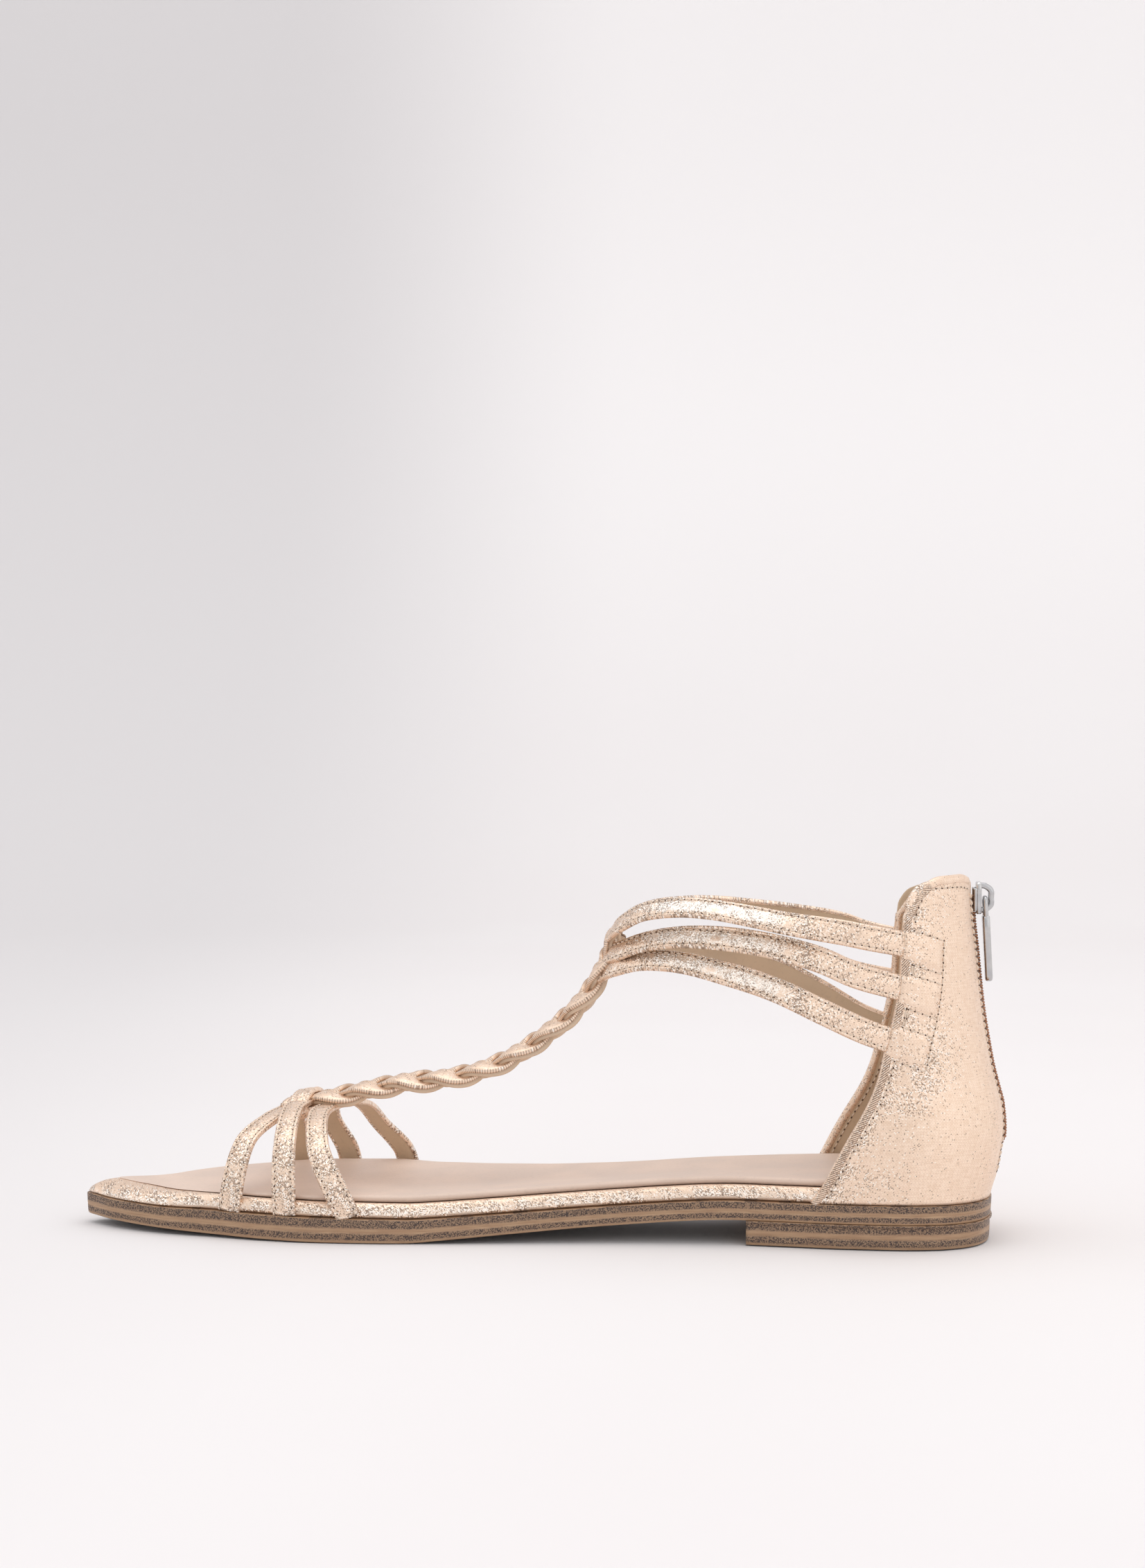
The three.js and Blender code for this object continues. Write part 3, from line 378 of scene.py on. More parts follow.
def edge_of_sole(angle, side):
    share = OUTER_SHARE(angle) if side < 0 else INNER_SHARE(angle)
    return np.stack([x_at((1 - np.cos(math.pi * angle)) / 2), side * BALL_WIDTH * share], -1)


def outline_normal(angle, side):
    ends = [edge_of_sole(np.clip(angle + step, 0, 1), side) for step in (-0.004, 0.004)]
    tangent = unit(ends[1] - ends[0])
    normal = np.stack([side * tangent[..., 1], -side * tangent[..., 0]], -1)
    normal = np.where((angle == 0)[..., None], [1.0, 0.0], normal)
    return np.where((angle == 1)[..., None], [-1.0, 0.0], normal)


def outline_points(angle, side, inset):
    """Points inside the outline; near the tip the way in turns towards the middle of the toe."""
    angle = np.asarray(angle, float)
    edge = edge_of_sole(angle, side)
    along = (1 - np.cos(math.pi * angle)) / 2
    turned = smoothstep(along, 0.84, 0.95)[..., None]
    inward = unit(TOE_MIDDLE - edge) * turned - outline_normal(angle, side) * (1 - turned)
    return edge + unit(inward) * inset


def tread_height(x):
    return HEEL_LIFT * LIFT(along_at(x)) + TOE_SPRING * SPRING(along_at(x))


def sole_top(x):
    return tread_height(x) + SOLE_THICKNESS * BODY(along_at(x))


COUNTER_BASE = float(sole_top(0.0)) + CLEARANCE
BOARD_INSET = EDGE_MARGIN + UPPER_WALL + CLEARANCE


def board_top(x):
    return sole_top(x) + CLEARANCE + BOARD_HEIGHT


# Node graphs
class Graph:
    """A material and short ways to add its nodes."""

    def __init__(self, name, **inputs):
        self.material = bpy.data.materials.new(name)
        self.material.use_nodes = True
        self.tree = self.material.node_tree
        self.shader = self.tree.nodes["Principled BSDF"]
        for key, value in inputs.items():
            self.shader.inputs[key.replace("_", " ")].default_value = value

    def node(self, kind, inputs=(), **settings):
        made = self.tree.nodes.new("ShaderNode" + kind)
        for key, value in settings.items():
            setattr(made, key, value)
        for key, value in dict(inputs).items():
            self.put(made.inputs[key], value)
        return made

    def put(self, socket, value):
        if isinstance(value, bpy.types.NodeSocket):
            self.tree.links.new(value, socket)
        else:
            socket.default_value = value

    def set(self, **inputs):
        for key, value in inputs.items():
            self.put(self.shader.inputs[key.replace("_", " ")], value)

    def math(self, operation, a, b=0.0, c=0.0, clamp=False):
        made = self.node("Math", {0: a, 1: b, 2: c}, operation=operation, use_clamp=clamp)
        return made.outputs[0]

    def vector(self, operation, a, b=(0, 0, 0)):
        made = self.node("VectorMath", {0: a, 1: b}, operation=operation)
        return made.outputs[0]

    def scaled(self, a, by):
        made = self.node("VectorMath", {0: a, 3: by}, operation="SCALE")
        return made.outputs[0]

    def noise(self, vector, scale, detail=2.0, stretch=None):
        if stretch:
            vector = self.vector("MULTIPLY", vector, stretch)
        made = self.node("TexNoise", {"Vector": vector, "Scale": scale, "Detail": detail})
        return made.outputs[0]

    def mix(self, share, a, b):
        made = self.node("Mix", {}, data_type="RGBA")
        self.put(made.inputs[0], share)
        self.put(made.inputs[6], a)
        self.put(made.inputs[7], b)
        return made.outputs[2]

    def between(self, value, low, high, start=0.0, end=1.0):
        made = self.node("MapRange", {0: value, 1: low, 2: high, 3: start, 4: end})
        made.interpolation_type = "SMOOTHSTEP"
        return made.outputs[0]

    def bump(self, height, depth, strength=1.0, normal=None):
        made = self.node("Bump", {"Height": height, "Distance": depth * MM, "Strength": strength})
        if normal is not None:
            self.put(made.inputs["Normal"], normal)
        return made.outputs[0]

    def cloth(self):
        """Place on the cloth in millimetres, and how strongly its foil sparkles there; below zero it is how
        much painted shade is mixed in.
        """
        made = self.node("Attribute", attribute_name="cloth")
        parts = self.node("SeparateXYZ", {0: made.outputs["Vector"]})
        flat = self.vector("MULTIPLY", made.outputs["Vector"], (1, 1, 0))
        return flat, parts.outputs[0], parts.outputs[1], parts.outputs[2]

    def place(self):
        """Place on the part in millimetres."""
        return self.scaled(self.node("TexCoord").outputs["Object"], 1 / MM)


def rgba(red, green, blue):
    return (red, green, blue, 1.0)


def shaded(colour, share):
    return rgba(*[share * part for part in colour[:3]])


FOIL = rgba(0.86, 0.655, 0.5)
FOIL_PALE = rgba(0.96, 0.77, 0.62)
FOIL_DARK = rgba(0.19, 0.125, 0.09)
FOIL_GLINT = rgba(1.0, 0.95, 0.88)
# Painted shade, mixed in where the sparkle is below zero: the slits between the braid's strands
PAINTED_SHADE = rgba(0.34, 0.22, 0.15)
LINING = rgba(0.64, 0.485, 0.335)
FOOTBED = rgba(0.8, 0.635, 0.53)
THREAD = rgba(0.92, 0.76, 0.61)
# Painted shade inside the stitch holes
HOLE_SHADE = rgba(0.11, 0.06, 0.035)
SOLE_TAN = rgba(0.4, 0.25, 0.15)
SOLE_DARK = rgba(0.06, 0.042, 0.038)
RUBBER = rgba(0.05, 0.038, 0.03)
COPPER = rgba(0.5, 0.24, 0.13)
NICKEL = rgba(0.5, 0.5, 0.51)
NICKEL_PALE = rgba(0.6, 0.59, 0.58)
SOLE_PALE = rgba(0.47, 0.31, 0.19)
RUBBER_STAIN = rgba(0.1, 0.075, 0.06)
STRAND_BACK = rgba(0.72, 0.55, 0.4)
TAPE_BROWN = rgba(0.5, 0.3, 0.18)
FLOOR_DARK = rgba(0.87, 0.845, 0.845)
FLOOR_LIGHT = rgba(0.88, 0.86, 0.86)
WALL = rgba(0.96, 0.945, 0.945)
WALL_SHADE = rgba(0.76, 0.745, 0.75)
SKY = rgba(0.97, 0.955, 0.96)


def foil_cloth(name, stripes=0.0, slope=1.2, period=0.8):
    """Linen printed with rose-gold foil. stripes is how dark the hatch of a folded edge is."""
    g = Graph(name, Metallic=0.85, Specular_IOR_Level=0.5)
    flat, along, across, sparkle = g.cloth()
    wobble = g.scaled(g.node("TexNoise", {"Vector": flat, "Scale": 0.3}).outputs[1], 0.5)
    threads = g.scaled(g.vector("ADD", flat, wobble), 1 / WEAVE)
    parts = g.node("SeparateXYZ", {0: threads})
    wave = [g.math("SINE", g.math("MULTIPLY", parts.outputs[k], math.pi)) for k in (0, 1)]
    weave = g.math("MULTIPLY", wave[0], wave[1])
    warp = g.noise(flat, 1.0, 2.0, (0.3, 2.6, 1))
    weft = g.noise(flat, 1.0, 2.0, (2.6, 0.3, 1))
    slub = g.math("ADD", warp, weft)
    cells = g.node("TexWhiteNoise", {"Vector": g.vector("FLOOR", g.scaled(threads, WEAVE / FLAKE))})
    chance = cells.outputs["Value"]
    patchy = g.noise(flat, 0.2, 3.0)
    zone = g.math("MULTIPLY", g.math("MINIMUM", sparkle, 1.0), g.between(patchy, 0.3, 0.55), clamp=True)
    middle = g.between(g.math("ABSOLUTE", across), 1.2, 2.4, 1.0, 0.0)
    # Glare is a painted highlight where the sparkle is above 1, down the middle of the band
    glare = g.math("MULTIPLY", g.math("SUBTRACT", sparkle, 1.0, clamp=True), g.between(patchy, 0.25, 0.45))
    glare = g.math("MULTIPLY", glare, middle)
    worn = g.between(patchy, 0.58, 0.78, 0.0, 0.14)
    dark_share = g.math("MULTIPLY_ADD", g.math("MULTIPLY_ADD", glare, -0.85, zone), 0.42, worn)
    dark = g.math("LESS_THAN", chance, g.math("ADD", dark_share, 0.012))
    gleam = g.math("MULTIPLY_ADD", zone, 0.28, g.math("MULTIPLY", glare, 0.42))
    bright = g.math("GREATER_THAN", chance, g.math("SUBTRACT", 1.0, gleam))
    base = g.mix(g.between(slub, 0.75, 1.25), FOIL, FOIL_PALE)
    base = g.mix(g.between(weave, -0.9, -0.2, 0.14, 0.0), base, FOIL_DARK)
    # Painted highlights: the glare band here and the bright cells below
    base = g.mix(g.math("MULTIPLY", glare, 0.6), base, FOIL_GLINT)
    base = g.mix(g.math("MULTIPLY", dark, 0.6), base, FOIL_DARK)
    base = g.mix(g.math("MULTIPLY", bright, 0.8), base, FOIL_GLINT)
    # Sparkle below zero mixes in painted shade
    base = g.mix(g.math("MULTIPLY", sparkle, -1.0, clamp=True), base, PAINTED_SHADE)
    if stripes:
        slant = g.math("ADD", along, g.math("MULTIPLY", across, slope))
        hatch = g.math("SINE", g.math("MULTIPLY", slant, 2 * math.pi / period))
        run = g.noise(flat, 0.12, 2.0)
        share = g.math("MULTIPLY", g.between(hatch, -0.3, 0.3), g.between(run, 0.3, 0.5, 0.7, 1.0))
        share = g.math("MULTIPLY", share, g.between(sparkle, 0.0, 0.05))
        base = g.mix(g.math("MULTIPLY", share, stripes), base, FOIL_DARK)
    rough = g.math("MULTIPLY_ADD", zone, -0.12, 0.42)
    relief = g.math("MULTIPLY_ADD", weave, 0.25, slub)
    normal = g.bump(relief, 0.03, 0.8)
    tilt = g.vector("SUBTRACT", cells.outputs["Color"], (0.5, 0.5, 0.5))
    tilt = g.scaled(tilt, g.math("MULTIPLY_ADD", zone, 0.8, 0.12))
    g.set(Base_Color=base, Roughness=rough, Normal=g.vector("NORMALIZE", g.vector("ADD", normal, tilt)))
    return g.material


def smooth_leather(name, colour, grain, rough=0.5):
    """Smooth leather with a fine pebbled grain and a faint mottle. grain is its depth."""
    g = Graph(name)
    place = g.place()
    pebbles = g.node("TexVoronoi", {"Vector": place, "Scale": 1.5}, feature="SMOOTH_F1").outputs[0]
    pores = g.noise(place, 3.2, 2.0)
    mottle = g.noise(place, 0.06, 4.0)
    shade = shaded(colour, 0.9)
    base = g.mix(g.between(mottle, 0.3, 0.7), shade, colour)
    base = g.mix(g.between(pebbles, 0.5, 0.75, 0.0, 0.12), base, shaded(shade, 0.6))
    height = g.math("ADD", g.math("MULTIPLY", pebbles, -0.7), g.math("MULTIPLY", pores, 0.5))
    g.set(
        Base_Color=base,
        Roughness=g.between(mottle, 0.2, 0.8, rough - 0.06, rough + 0.08),
        Normal=g.bump(height, grain, 0.7),
    )
    return g.material


def painted_sole(name):
    """Bronze sole edge: dark speckled bands over tan, by height share in the cloth attribute."""
    g = Graph(name, Metallic=0.25)
    _, _, height, _ = g.cloth()
    place = g.place()
    streaks = g.noise(place, 1.0, 3.0, (0.16, 0.16, 1.6))
    height = g.math("ADD", height, g.math("MULTIPLY_ADD", streaks, 0.1, -0.05))
    upper = g.math("MULTIPLY", g.between(height, 0.58, 0.7), g.between(height, 1.04, 0.98))
    lower = g.math("MULTIPLY", g.between(height, 0.1, 0.2), g.between(height, 0.48, 0.36))
    band = g.math("ADD", upper, lower, clamp=True)
    grains = g.noise(place, 2.6, 2.0)
    fine = g.noise(place, 5.5, 1.0)
    speckle = g.between(g.math("MULTIPLY_ADD", fine, 0.5, grains), 0.66, 0.84)
    dark = g.math("MULTIPLY", band, g.math("MULTIPLY_ADD", speckle, 0.66, 0.34), clamp=True)
    tan = g.mix(g.between(streaks, 0.3, 0.7), SOLE_TAN, SOLE_PALE)
    base = g.mix(dark, tan, SOLE_DARK)
    relief = g.math("MULTIPLY_ADD", streaks, 0.8, g.math("MULTIPLY", grains, 0.4))
    rough = g.between(grains, 0.3, 0.7, 0.36, 0.52)
    g.set(Base_Color=base, Roughness=rough, Normal=g.bump(relief, 0.12, 0.6))
    return g.material


def rubber(name):
    """Dark underside with a fine cross grain."""
    g = Graph(name)
    place = g.place()
    grain = g.noise(place, 2.2, 3.0)
    stains = g.noise(place, 0.05, 4.0)
    base = g.mix(g.between(stains, 0.35, 0.7), RUBBER, RUBBER_STAIN)
    g.set(Base_Color=base, Roughness=g.between(grain, 0.3, 0.7, 0.55, 0.75), Normal=g.bump(grain, 0.12, 0.6))
    return g.material


def twisted_thread(name, colour):
    """Thread with the slant of its twist."""
    g = Graph(name)
    place = g.place()
    twist = g.node("TexWave", {"Vector": place, "Scale": 1.6, "Distortion": 1.2}, bands_direction="DIAGONAL")
    tone = g.between(twist.outputs[1], 0.2, 0.8)
    base = g.mix(tone, shaded(colour, 0.72), colour)
    g.set(Base_Color=base, Roughness=g.between(tone, 0, 1, 0.6, 0.42), Normal=g.bump(tone, 0.05, 0.6))
    return g.material


def zip_fabric(name, colour):
    """Ribbed tape of the zip, from the cloth attribute."""
    g = Graph(name)
    flat, along, across, _ = g.cloth()
    ribs = g.math("SINE", g.math("MULTIPLY", along, 2 * math.pi / 0.55))
    cords = g.math("SINE", g.math("MULTIPLY", across, 2 * math.pi / 0.8))
    fuzz = g.noise(flat, 3.0, 2.0)
    relief = g.math("MULTIPLY_ADD", ribs, cords, fuzz)
    base = g.mix(g.between(relief, -0.6, 1.4), shaded(colour, 0.6), colour)
    g.set(Base_Color=base, Roughness=g.between(fuzz, 0.3, 0.7, 0.6, 0.75), Normal=g.bump(relief, 0.08, 0.7))
    return g.material


def polished_nickel(name):
    """Polished nickel with faint rub marks."""
    g = Graph(name, Metallic=1.0)
    place = g.place()
    rub = g.noise(place, 0.9, 4.0, (0.4, 1, 2.5))
    cloud = g.noise(place, 0.3, 3.0)
    base = g.mix(g.between(cloud, 0.3, 0.7), NICKEL, NICKEL_PALE)
    g.set(Base_Color=base, Roughness=g.between(rub, 0.35, 0.75, 0.09, 0.2), Normal=g.bump(rub, 0.02, 0.3))
    return g.material


CLOTH = foil_cloth("foil_cloth")
CLOTH_EDGE = foil_cloth("foil_cloth_folded_edge", stripes=0.85)
CLOTH_PIPING = foil_cloth("foil_cloth_piping", stripes=0.5, slope=0.2, period=0.55)
LEATHER = smooth_leather("lining_leather", LINING, 0.06, 0.62)
STRAND_LINING = smooth_leather("strand_lining", STRAND_BACK, 0.05, 0.55)
SOCK = smooth_leather("footbed_leather", FOOTBED, 0.07, 0.5)
EDGE = painted_sole("bronze_edge")
TREAD = rubber("tread_rubber")
STITCH = twisted_thread("stitching_thread", THREAD)
STITCH_HOLE_SHADE = twisted_thread("stitch_hole_shade", HOLE_SHADE)
TAPE = zip_fabric("zip_tape_fabric", TAPE_BROWN)
COIL = twisted_thread("zip_coil", COPPER)
METAL = polished_nickel("polished_nickel")


# Meshes
class Build:
    """Points, faces and cloth places of one piece while it is made, in millimetres."""

    def __init__(self):
        self.points = []
        self.cloth = []
        self.faces = []
        self.choice = []

    def add(self, points, cloth=None):
        start = len(self.points)
        points = np.asarray(points, float).reshape(-1, 3)
        self.points.extend(points.tolist())
        cloth = np.zeros((len(points), 3)) if cloth is None else np.asarray(cloth, float).reshape(-1, 3)
        self.cloth.extend(cloth.tolist())
        return start

    def face(self, corners, material=0):
        corners = [int(c) for c in dict.fromkeys(corners)]
        if len(corners) > 2:
            self.faces.append(corners)
            self.choice.append(material)

    def piece(self, name, materials, replaces, body="shoe"):
        mesh = bpy.data.meshes.new(name)
        mesh.from_pydata((np.array(self.points) * MM).tolist(), [], self.faces)
        for material in materials:
            mesh.materials.append(material)
        mesh.polygons.foreach_set("material_index", self.choice)
        attribute = mesh.attributes.new("cloth", "FLOAT_VECTOR", "POINT")
        attribute.data.foreach_set("vector", np.array(self.cloth, np.float32).ravel())
        made = bmesh.new()
        made.from_mesh(mesh)
        bmesh.ops.remove_doubles(made, verts=made.verts, dist=1e-6)
        bmesh.ops.recalc_face_normals(made, faces=made.faces)
        made.to_mesh(mesh)
        made.free()
        mesh.shade_smooth()
        obj = bpy.data.objects.new(name, mesh)
        bpy.context.scene.collection.objects.link(obj)
        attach(obj, body)
        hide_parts(*replaces)
        return obj


def grid(build, points, cloth, material=0, closed=False):
    """Quads over a grid of points; closed joins the last column to the first."""
    rows, columns = points.shape[:2]
    start = build.add(points, cloth)
    last = columns if closed else columns - 1
    for r in range(rows - 1):
        for c in range(last):
            d = (c + 1) % columns
            a = start + r * columns
            b = a + columns
            chosen = material if np.isscalar(material) else material[c]
            build.face((a + c, a + d, b + d, b + c), chosen)
    return start


def capped(build, loops, cloth=None, material=0):
    """A closed grid of loops with a face over each end."""
    loops = np.array(loops)
    cloth = np.zeros_like(loops) if cloth is None else np.array(cloth)
    start = grid(build, loops, cloth, material, closed=True)
    count = loops.shape[1]
    last = start + (len(loops) - 1) * count
    build.face(range(start, start + count))
    build.face(range(last, last + count))


def wire(points, fine, count):
    """Evenly spaced points on a smooth curve through a few."""
    return resample(spline(np.array(points), np.linspace(0, 1, fine)), count)


def tube(build, points, radius, sides, closed=False, flat=1.0):
    """A round or flattened wire along its points."""
    along = unit(np.roll(points, -1, 0) - np.roll(points, 1, 0)) if closed else tangents(points)
    helper = np.array([0.0, 0.0, 1.0]) if abs(along[:, 2]).max() < 0.9 else np.array([0.0, 1.0, 0.0])
    if abs(along @ helper).max() > 0.98:
        helper = np.array([1.0, 0.0, 0.0])
    side = unit(np.cross(along, helper))
    up = np.cross(side, along)
    turns = np.linspace(0, 2 * math.pi, sides, endpoint=False)
    loops = []
    for middle, s, u in zip(points, side, up):
        loops.append([middle + (s * math.cos(t) * flat + u * math.sin(t)) * radius for t in turns])
    if closed:
        loops.append(loops[0])
        grid(build, np.array(loops), None, closed=True)
    else:
        capped(build, loops)


def slab(build, outline, front, thickness, bevel):
    """A plate facing +X with rounded edges. outline is points (y, z) round its edge."""
    outline = np.array(outline, float)
    along = unit(np.roll(outline, -1, 0) - np.roll(outline, 1, 0))
    inward = np.stack([-along[:, 1], along[:, 0]], 1)
    if np.mean(np.sum(inward * (outline.mean(0) - outline), 1)) < 0:
        inward = -inward
    corner = ((1, 0), (0.3, 0.3), (0, 1))
    rows = [(inset, front - thickness + bevel * x) for inset, x in corner]
    rows += [(inset, front - bevel * x) for inset, x in corner[::-1]]
    loops = []
    for inset, x in rows:
        flat = outline + inward * bevel * inset
        loops.append(np.column_stack([np.full(len(flat), x), flat]))
    capped(build, loops)


# Layers of the sole
STATIONS = 110


def ring(angles, inset):
    """Closed loop of outline points, the outer side from heel to toe and back along the inner side."""
    along = (1 - np.cos(math.pi * angles)) / 2
    inset = (inset(along) if callable(inset) else np.full(len(angles), float(inset)))[:, None]
    return np.vstack([outline_points(angles, -1, inset), outline_points(angles, 1, inset)[::-1]])


def layer(name, rings, materials, replaces, last_along=1.0, top_columns=1, dish=None, split=None):
    """A layer with rings of (inset, height function), and caps below and above."""
    angles = np.linspace(0, float(angle_of(last_along)), STATIONS + 1)
    build = Build()
    loops = []
    girth = 0.0
    for inset, height, share, *sparkles in rings:
        flat = ring(angles, inset)
        if last_along < 1:
            flat[STATIONS : STATIONS + 2, 0] = x_at(last_along)
        points = np.column_stack([flat, height(flat[:, 0])])
        if loops:
            girth += float(np.median(np.linalg.norm(points - loops[-1], axis=1)))
        run = lengths_along(flat)
        loops.append(points)
        values = np.full(len(run), girth if share is None else share)
        sparkle = np.full(len(run), sparkles[0] if sparkles else 0.0)
        build.add(points, np.column_stack([run, values, sparkle]))
    count = 2 * (STATIONS + 1)
    for k in range(len(rings) - 1):
        for i in range(count):
            j = (i + 1) % count
            low, high = k * count, (k + 1) * count
            build.face((low + i, low + j, high + j, high + i), split[k] if split else 0)
    for which, parts in ((0, 1), (len(rings) - 1, top_columns)):
        outer = loops[which][: STATIONS + 1]
        inner = loops[which][: STATIONS : -1]
        shares = np.linspace(0, 1, parts + 1)[None, :, None]
        points = outer[:, None] * (1 - shares) + inner[:, None] * shares
        if which and dish:
            points[..., 2] += dish(shares[..., 0], along_at(points[..., 0]))
        material = len(materials) - 1 if which == 0 else 0
        cloth = np.concatenate([points[..., :2], np.zeros_like(points[..., :1])], -1)
        grid(build, points, cloth, material)
    return build.piece(name, materials, replaces)


def sole_layer(name, profile, height_at, node, last_along=1.0):
    """A layer of the sole from a profile of (inset, height share), its two lowest steps of rubber."""
    rings = [(inset, lambda x, h=h: height_at(x, h), h) for inset, h in profile]
    split = [1, 1] + [0] * (len(rings) - 3)
    return layer(name, rings, [EDGE, TREAD], [node], last_along=last_along, split=split)


def outsole():
    profile = (
        (1.6, 0.05), (0.9, 0.03), (0.5, 0.04), (0.3, 0.09), (0.22, 0.2), (0.17, 0.34), (0.12, 0.46),
        (0.19, 0.48), (0.19, 0.5), (0.08, 0.52), (0.05, 0.7), (0.02, 0.85), (0.0, 0.94), (0.05, 0.98),
        (0.3, 1),
    )

    def height(x, share):
        return tread_height(x) + share * (sole_top(x) - tread_height(x))

    return sole_layer("outsole_layer", profile, height, "outsole")


def heel_layer():
    top = HEEL_LIFT + 0.12
    profile = (
        (1.8, 0.05), (1.2, 0.03), (0.8, 0.06), (0.6, 0.2), (0.52, 0.4), (0.6, 0.42), (0.6, 0.44),
        (0.5, 0.46), (0.46, 0.7), (0.46, 0.86), (0.3, 0.89), (-0.08, 0.92), (-0.12, 0.95), (-0.08, 0.98),
        (0.3, 1),
    )

    def height(x, share):
        return np.full_like(x, share * top)

    return sole_layer("heel_layer", profile, height, "heel_block", last_along=BREAST / LENGTH)


def tread_bars():
    """Fine bars across the underside of the forefoot and the heel."""
    build = Build()
    half, depth, pitch = 1.1, 0.36, 3.6
    section = ((-half, depth), (-half + 0.25, 0.02), (half - 0.25, 0.02), (half, depth))
    bars = [(x, 7.0) for x in np.arange(-206, -96, pitch)] + [(x, 6.0) for x in np.arange(-34, 22, pitch)]
    for x, inset in bars:
        base = 0.0 if x > -60 else float(tread_height(x))
        angle = angle_of(along_at(x))
        low, high = (float(outline_points(angle, side, inset)[1]) for side in (-1, 1))
        ys = np.linspace(low, high, 9)
        bow = 3.0 * np.sin(math.pi * (ys - low) / (high - low))
        capped(build, [[(x + a - b, y, base + z) for a, z in section] for y, b in zip(ys, bow)])
    return build.piece("tread_bars", [TREAD], ["outsole"])


# Rim of the footbed: out is a share of the shoulder's width, rise and toe are shares of its height along
# the side and at the tip
# sparkle is how strongly glints and dark specks are painted on the cloth, above 1 a painted highlight along
# the rim's crown
RIM_PROFILE = (
    ("out", "rise", "toe", "sparkle"),
    (0, 0.12, 0.1, 0.9),
    (0.02, 0.3, 0.17, 1.1),
    (0.05, 0.45, 0.26, 1.3),
    (0.1, 0.58, 0.37, 1.5),
    (0.2, 0.72, 0.51, 1.2),
    (0.33, 0.84, 0.65, 0.6),
    (0.5, 0.93, 0.8, 0.3),
    (0.7, 0.98, 0.9, 0.1),
    (0.94, 0.96, 0.98, 0.05),
    (1, 0.7, 1, 0.05),
)
RIM_INSET = 0.9
RIM_SHOULDER = 3.3
TOE_SHOULDER = 9


def rim_inset(along, out):
    longer = (TOE_SHOULDER - RIM_SHOULDER) * smoothstep(along, 0.82, 0.96)
    return RIM_INSET - 0.4 * smoothstep(along, 0.86, 0.95) + out * (RIM_SHOULDER + longer)


def rim_height(x, rise, toe):
    share = rise + (toe - rise) * smoothstep(along_at(x), 0.8, 0.96)
    return sole_top(x) + 0.05 + share * (BOARD_HEIGHT + CLEARANCE - 0.05)


def rim_wrap():
    """Cloth wrapped round the edge of the insole board, with a longer slope at the toe."""
    rings = []
    for out, rise, toe, sparkle in RIM_PROFILE[1:]:
        inset = lambda along, o=out: rim_inset(along, o)
        height = lambda x, r=rise, t=toe: rim_height(x, r, t)
        rings.append((inset, height, None, sparkle))
    return layer("rim_wrap", rings, [CLOTH], ["insole_board"])


def footbed():
    share = table_curve(SOCK_TAPER, "along", "share")
    rounding = SOCK_THICKNESS / 2
    flank = SOCK_THICKNESS + CLEARANCE - rounding
    steps = 5

    def inset(along, turn):
        feather = TOE_FEATHER * smoothstep(along, 0.84, 0.97)
        return BOARD_INSET + SOCK_MARGIN + feather + rounding * (1 - math.cos(turn))

    def height(x, rise):
        feather = 1 - SOCK_FEATHER * smoothstep(along_at(x), 0.76, 0.86)
        return board_top(x) + 0.02 + rise * share(along_at(x)) * feather

    rings = [(lambda along: inset(along, 0), lambda x: height(x, 0), None)]
    for k in range(steps + 1):
        turn = k / steps * math.pi / 2
        rise = flank + rounding * math.sin(turn)
        rings.append((lambda along, t=turn: inset(along, t), lambda x, r=rise: height(x, r), None))

    def dish(across, along):
        fade = smoothstep(1 - along, 0.1, 0.4)
        valley = np.exp(-(((across - 0.42) / 0.12) ** 2)) * smoothstep(along, 0.25, 0.45)
        return -SOCK_DISH * fade * (np.sin(math.pi * across) + 0.35 * valley)

    node = ["footbed_sock"]
    sock = layer("footbed", rings, [SOCK], node, top_columns=28, dish=dish)
    return sock


# Straps
def mirrored_section(width, thickness, above, top, below, bottom):
    """Points across a strap, from rows of (in from its edge, share of half its thickness)."""
    half, out = width / 2, thickness / 2
    upper = [(-half + e, o * out) for e, o in above] + [(0, top * out)]
    upper += [(half - e, o * out) for e, o in above[::-1]]
    lower = [(half - e, o * out) for e, o in below] + [(0, bottom * out)]
    lower += [(-half + e, o * out) for e, o in below[::-1]]
    return upper, lower


def strap_section(width, thickness):
    """Points across a folded strap: raised edges, a sunk stitch line and a flat lining below."""
    above = (
        (0, -0.15), (0.08, 0.35), (0.3, 0.75), (0.62, 0.92), (0.95, 0.72), (1.2, 0.66), (1.6, 0.86),
        (2.3, 0.97),
    )
    below = ((0.06, -0.5), (0.3, -0.78), (0.75, -0.86), (1.0, -0.7), (1.5, -0.92))
    upper, lower = mirrored_section(width, thickness, above, 1, below, -1)
    lining = [0] * (len(upper) + 3) + [1] * (2 * len(below) - 6) + [0] * 10
    return np.array(upper + lower), lining


def strap(build, points, outwards, widths, thickness, sparkle, section=strap_section):
    """A strap swept along its points, with a width at each of them."""
    _, across, outward = frames(points, outwards)
    run = lengths_along(points)
    loops, cloth = [], []
    for k in range(len(points)):
        shape, lining = section(widths[k], thickness)
        loops.append(points[k] + across[k] * shape[:, :1] + outward[k] * shape[:, 1:])
        row = np.ones(len(shape))
        cloth.append(np.column_stack([row * run[k], shape[:, 0], row * sparkle[k]]))
    capped(build, loops, cloth, lining)
    return across, outward


def stitch_lines(points, across, outward, widths, thickness):
    """The two rows of stitches along a strap, as points with the direction out of the cloth."""
    lines = []
    for side in (-1, 1):
        aside = (widths / 2 - STITCH_INSET)[:, None] * side
        lines.append((points + across * aside + outward * (0.345 * thickness), outward))
    return lines


# A stitch from end to end: size and lift are shares of STITCH_RADIUS
STITCH_FORM = (
    ("along", "size", "lift"),
    (0, 0.45, -0.6),
    (0.2, 0.9, 0.1),
    (0.5, 1, 0.45),
    (0.8, 0.9, 0.1),
    (1, 0.45, -0.6),
)


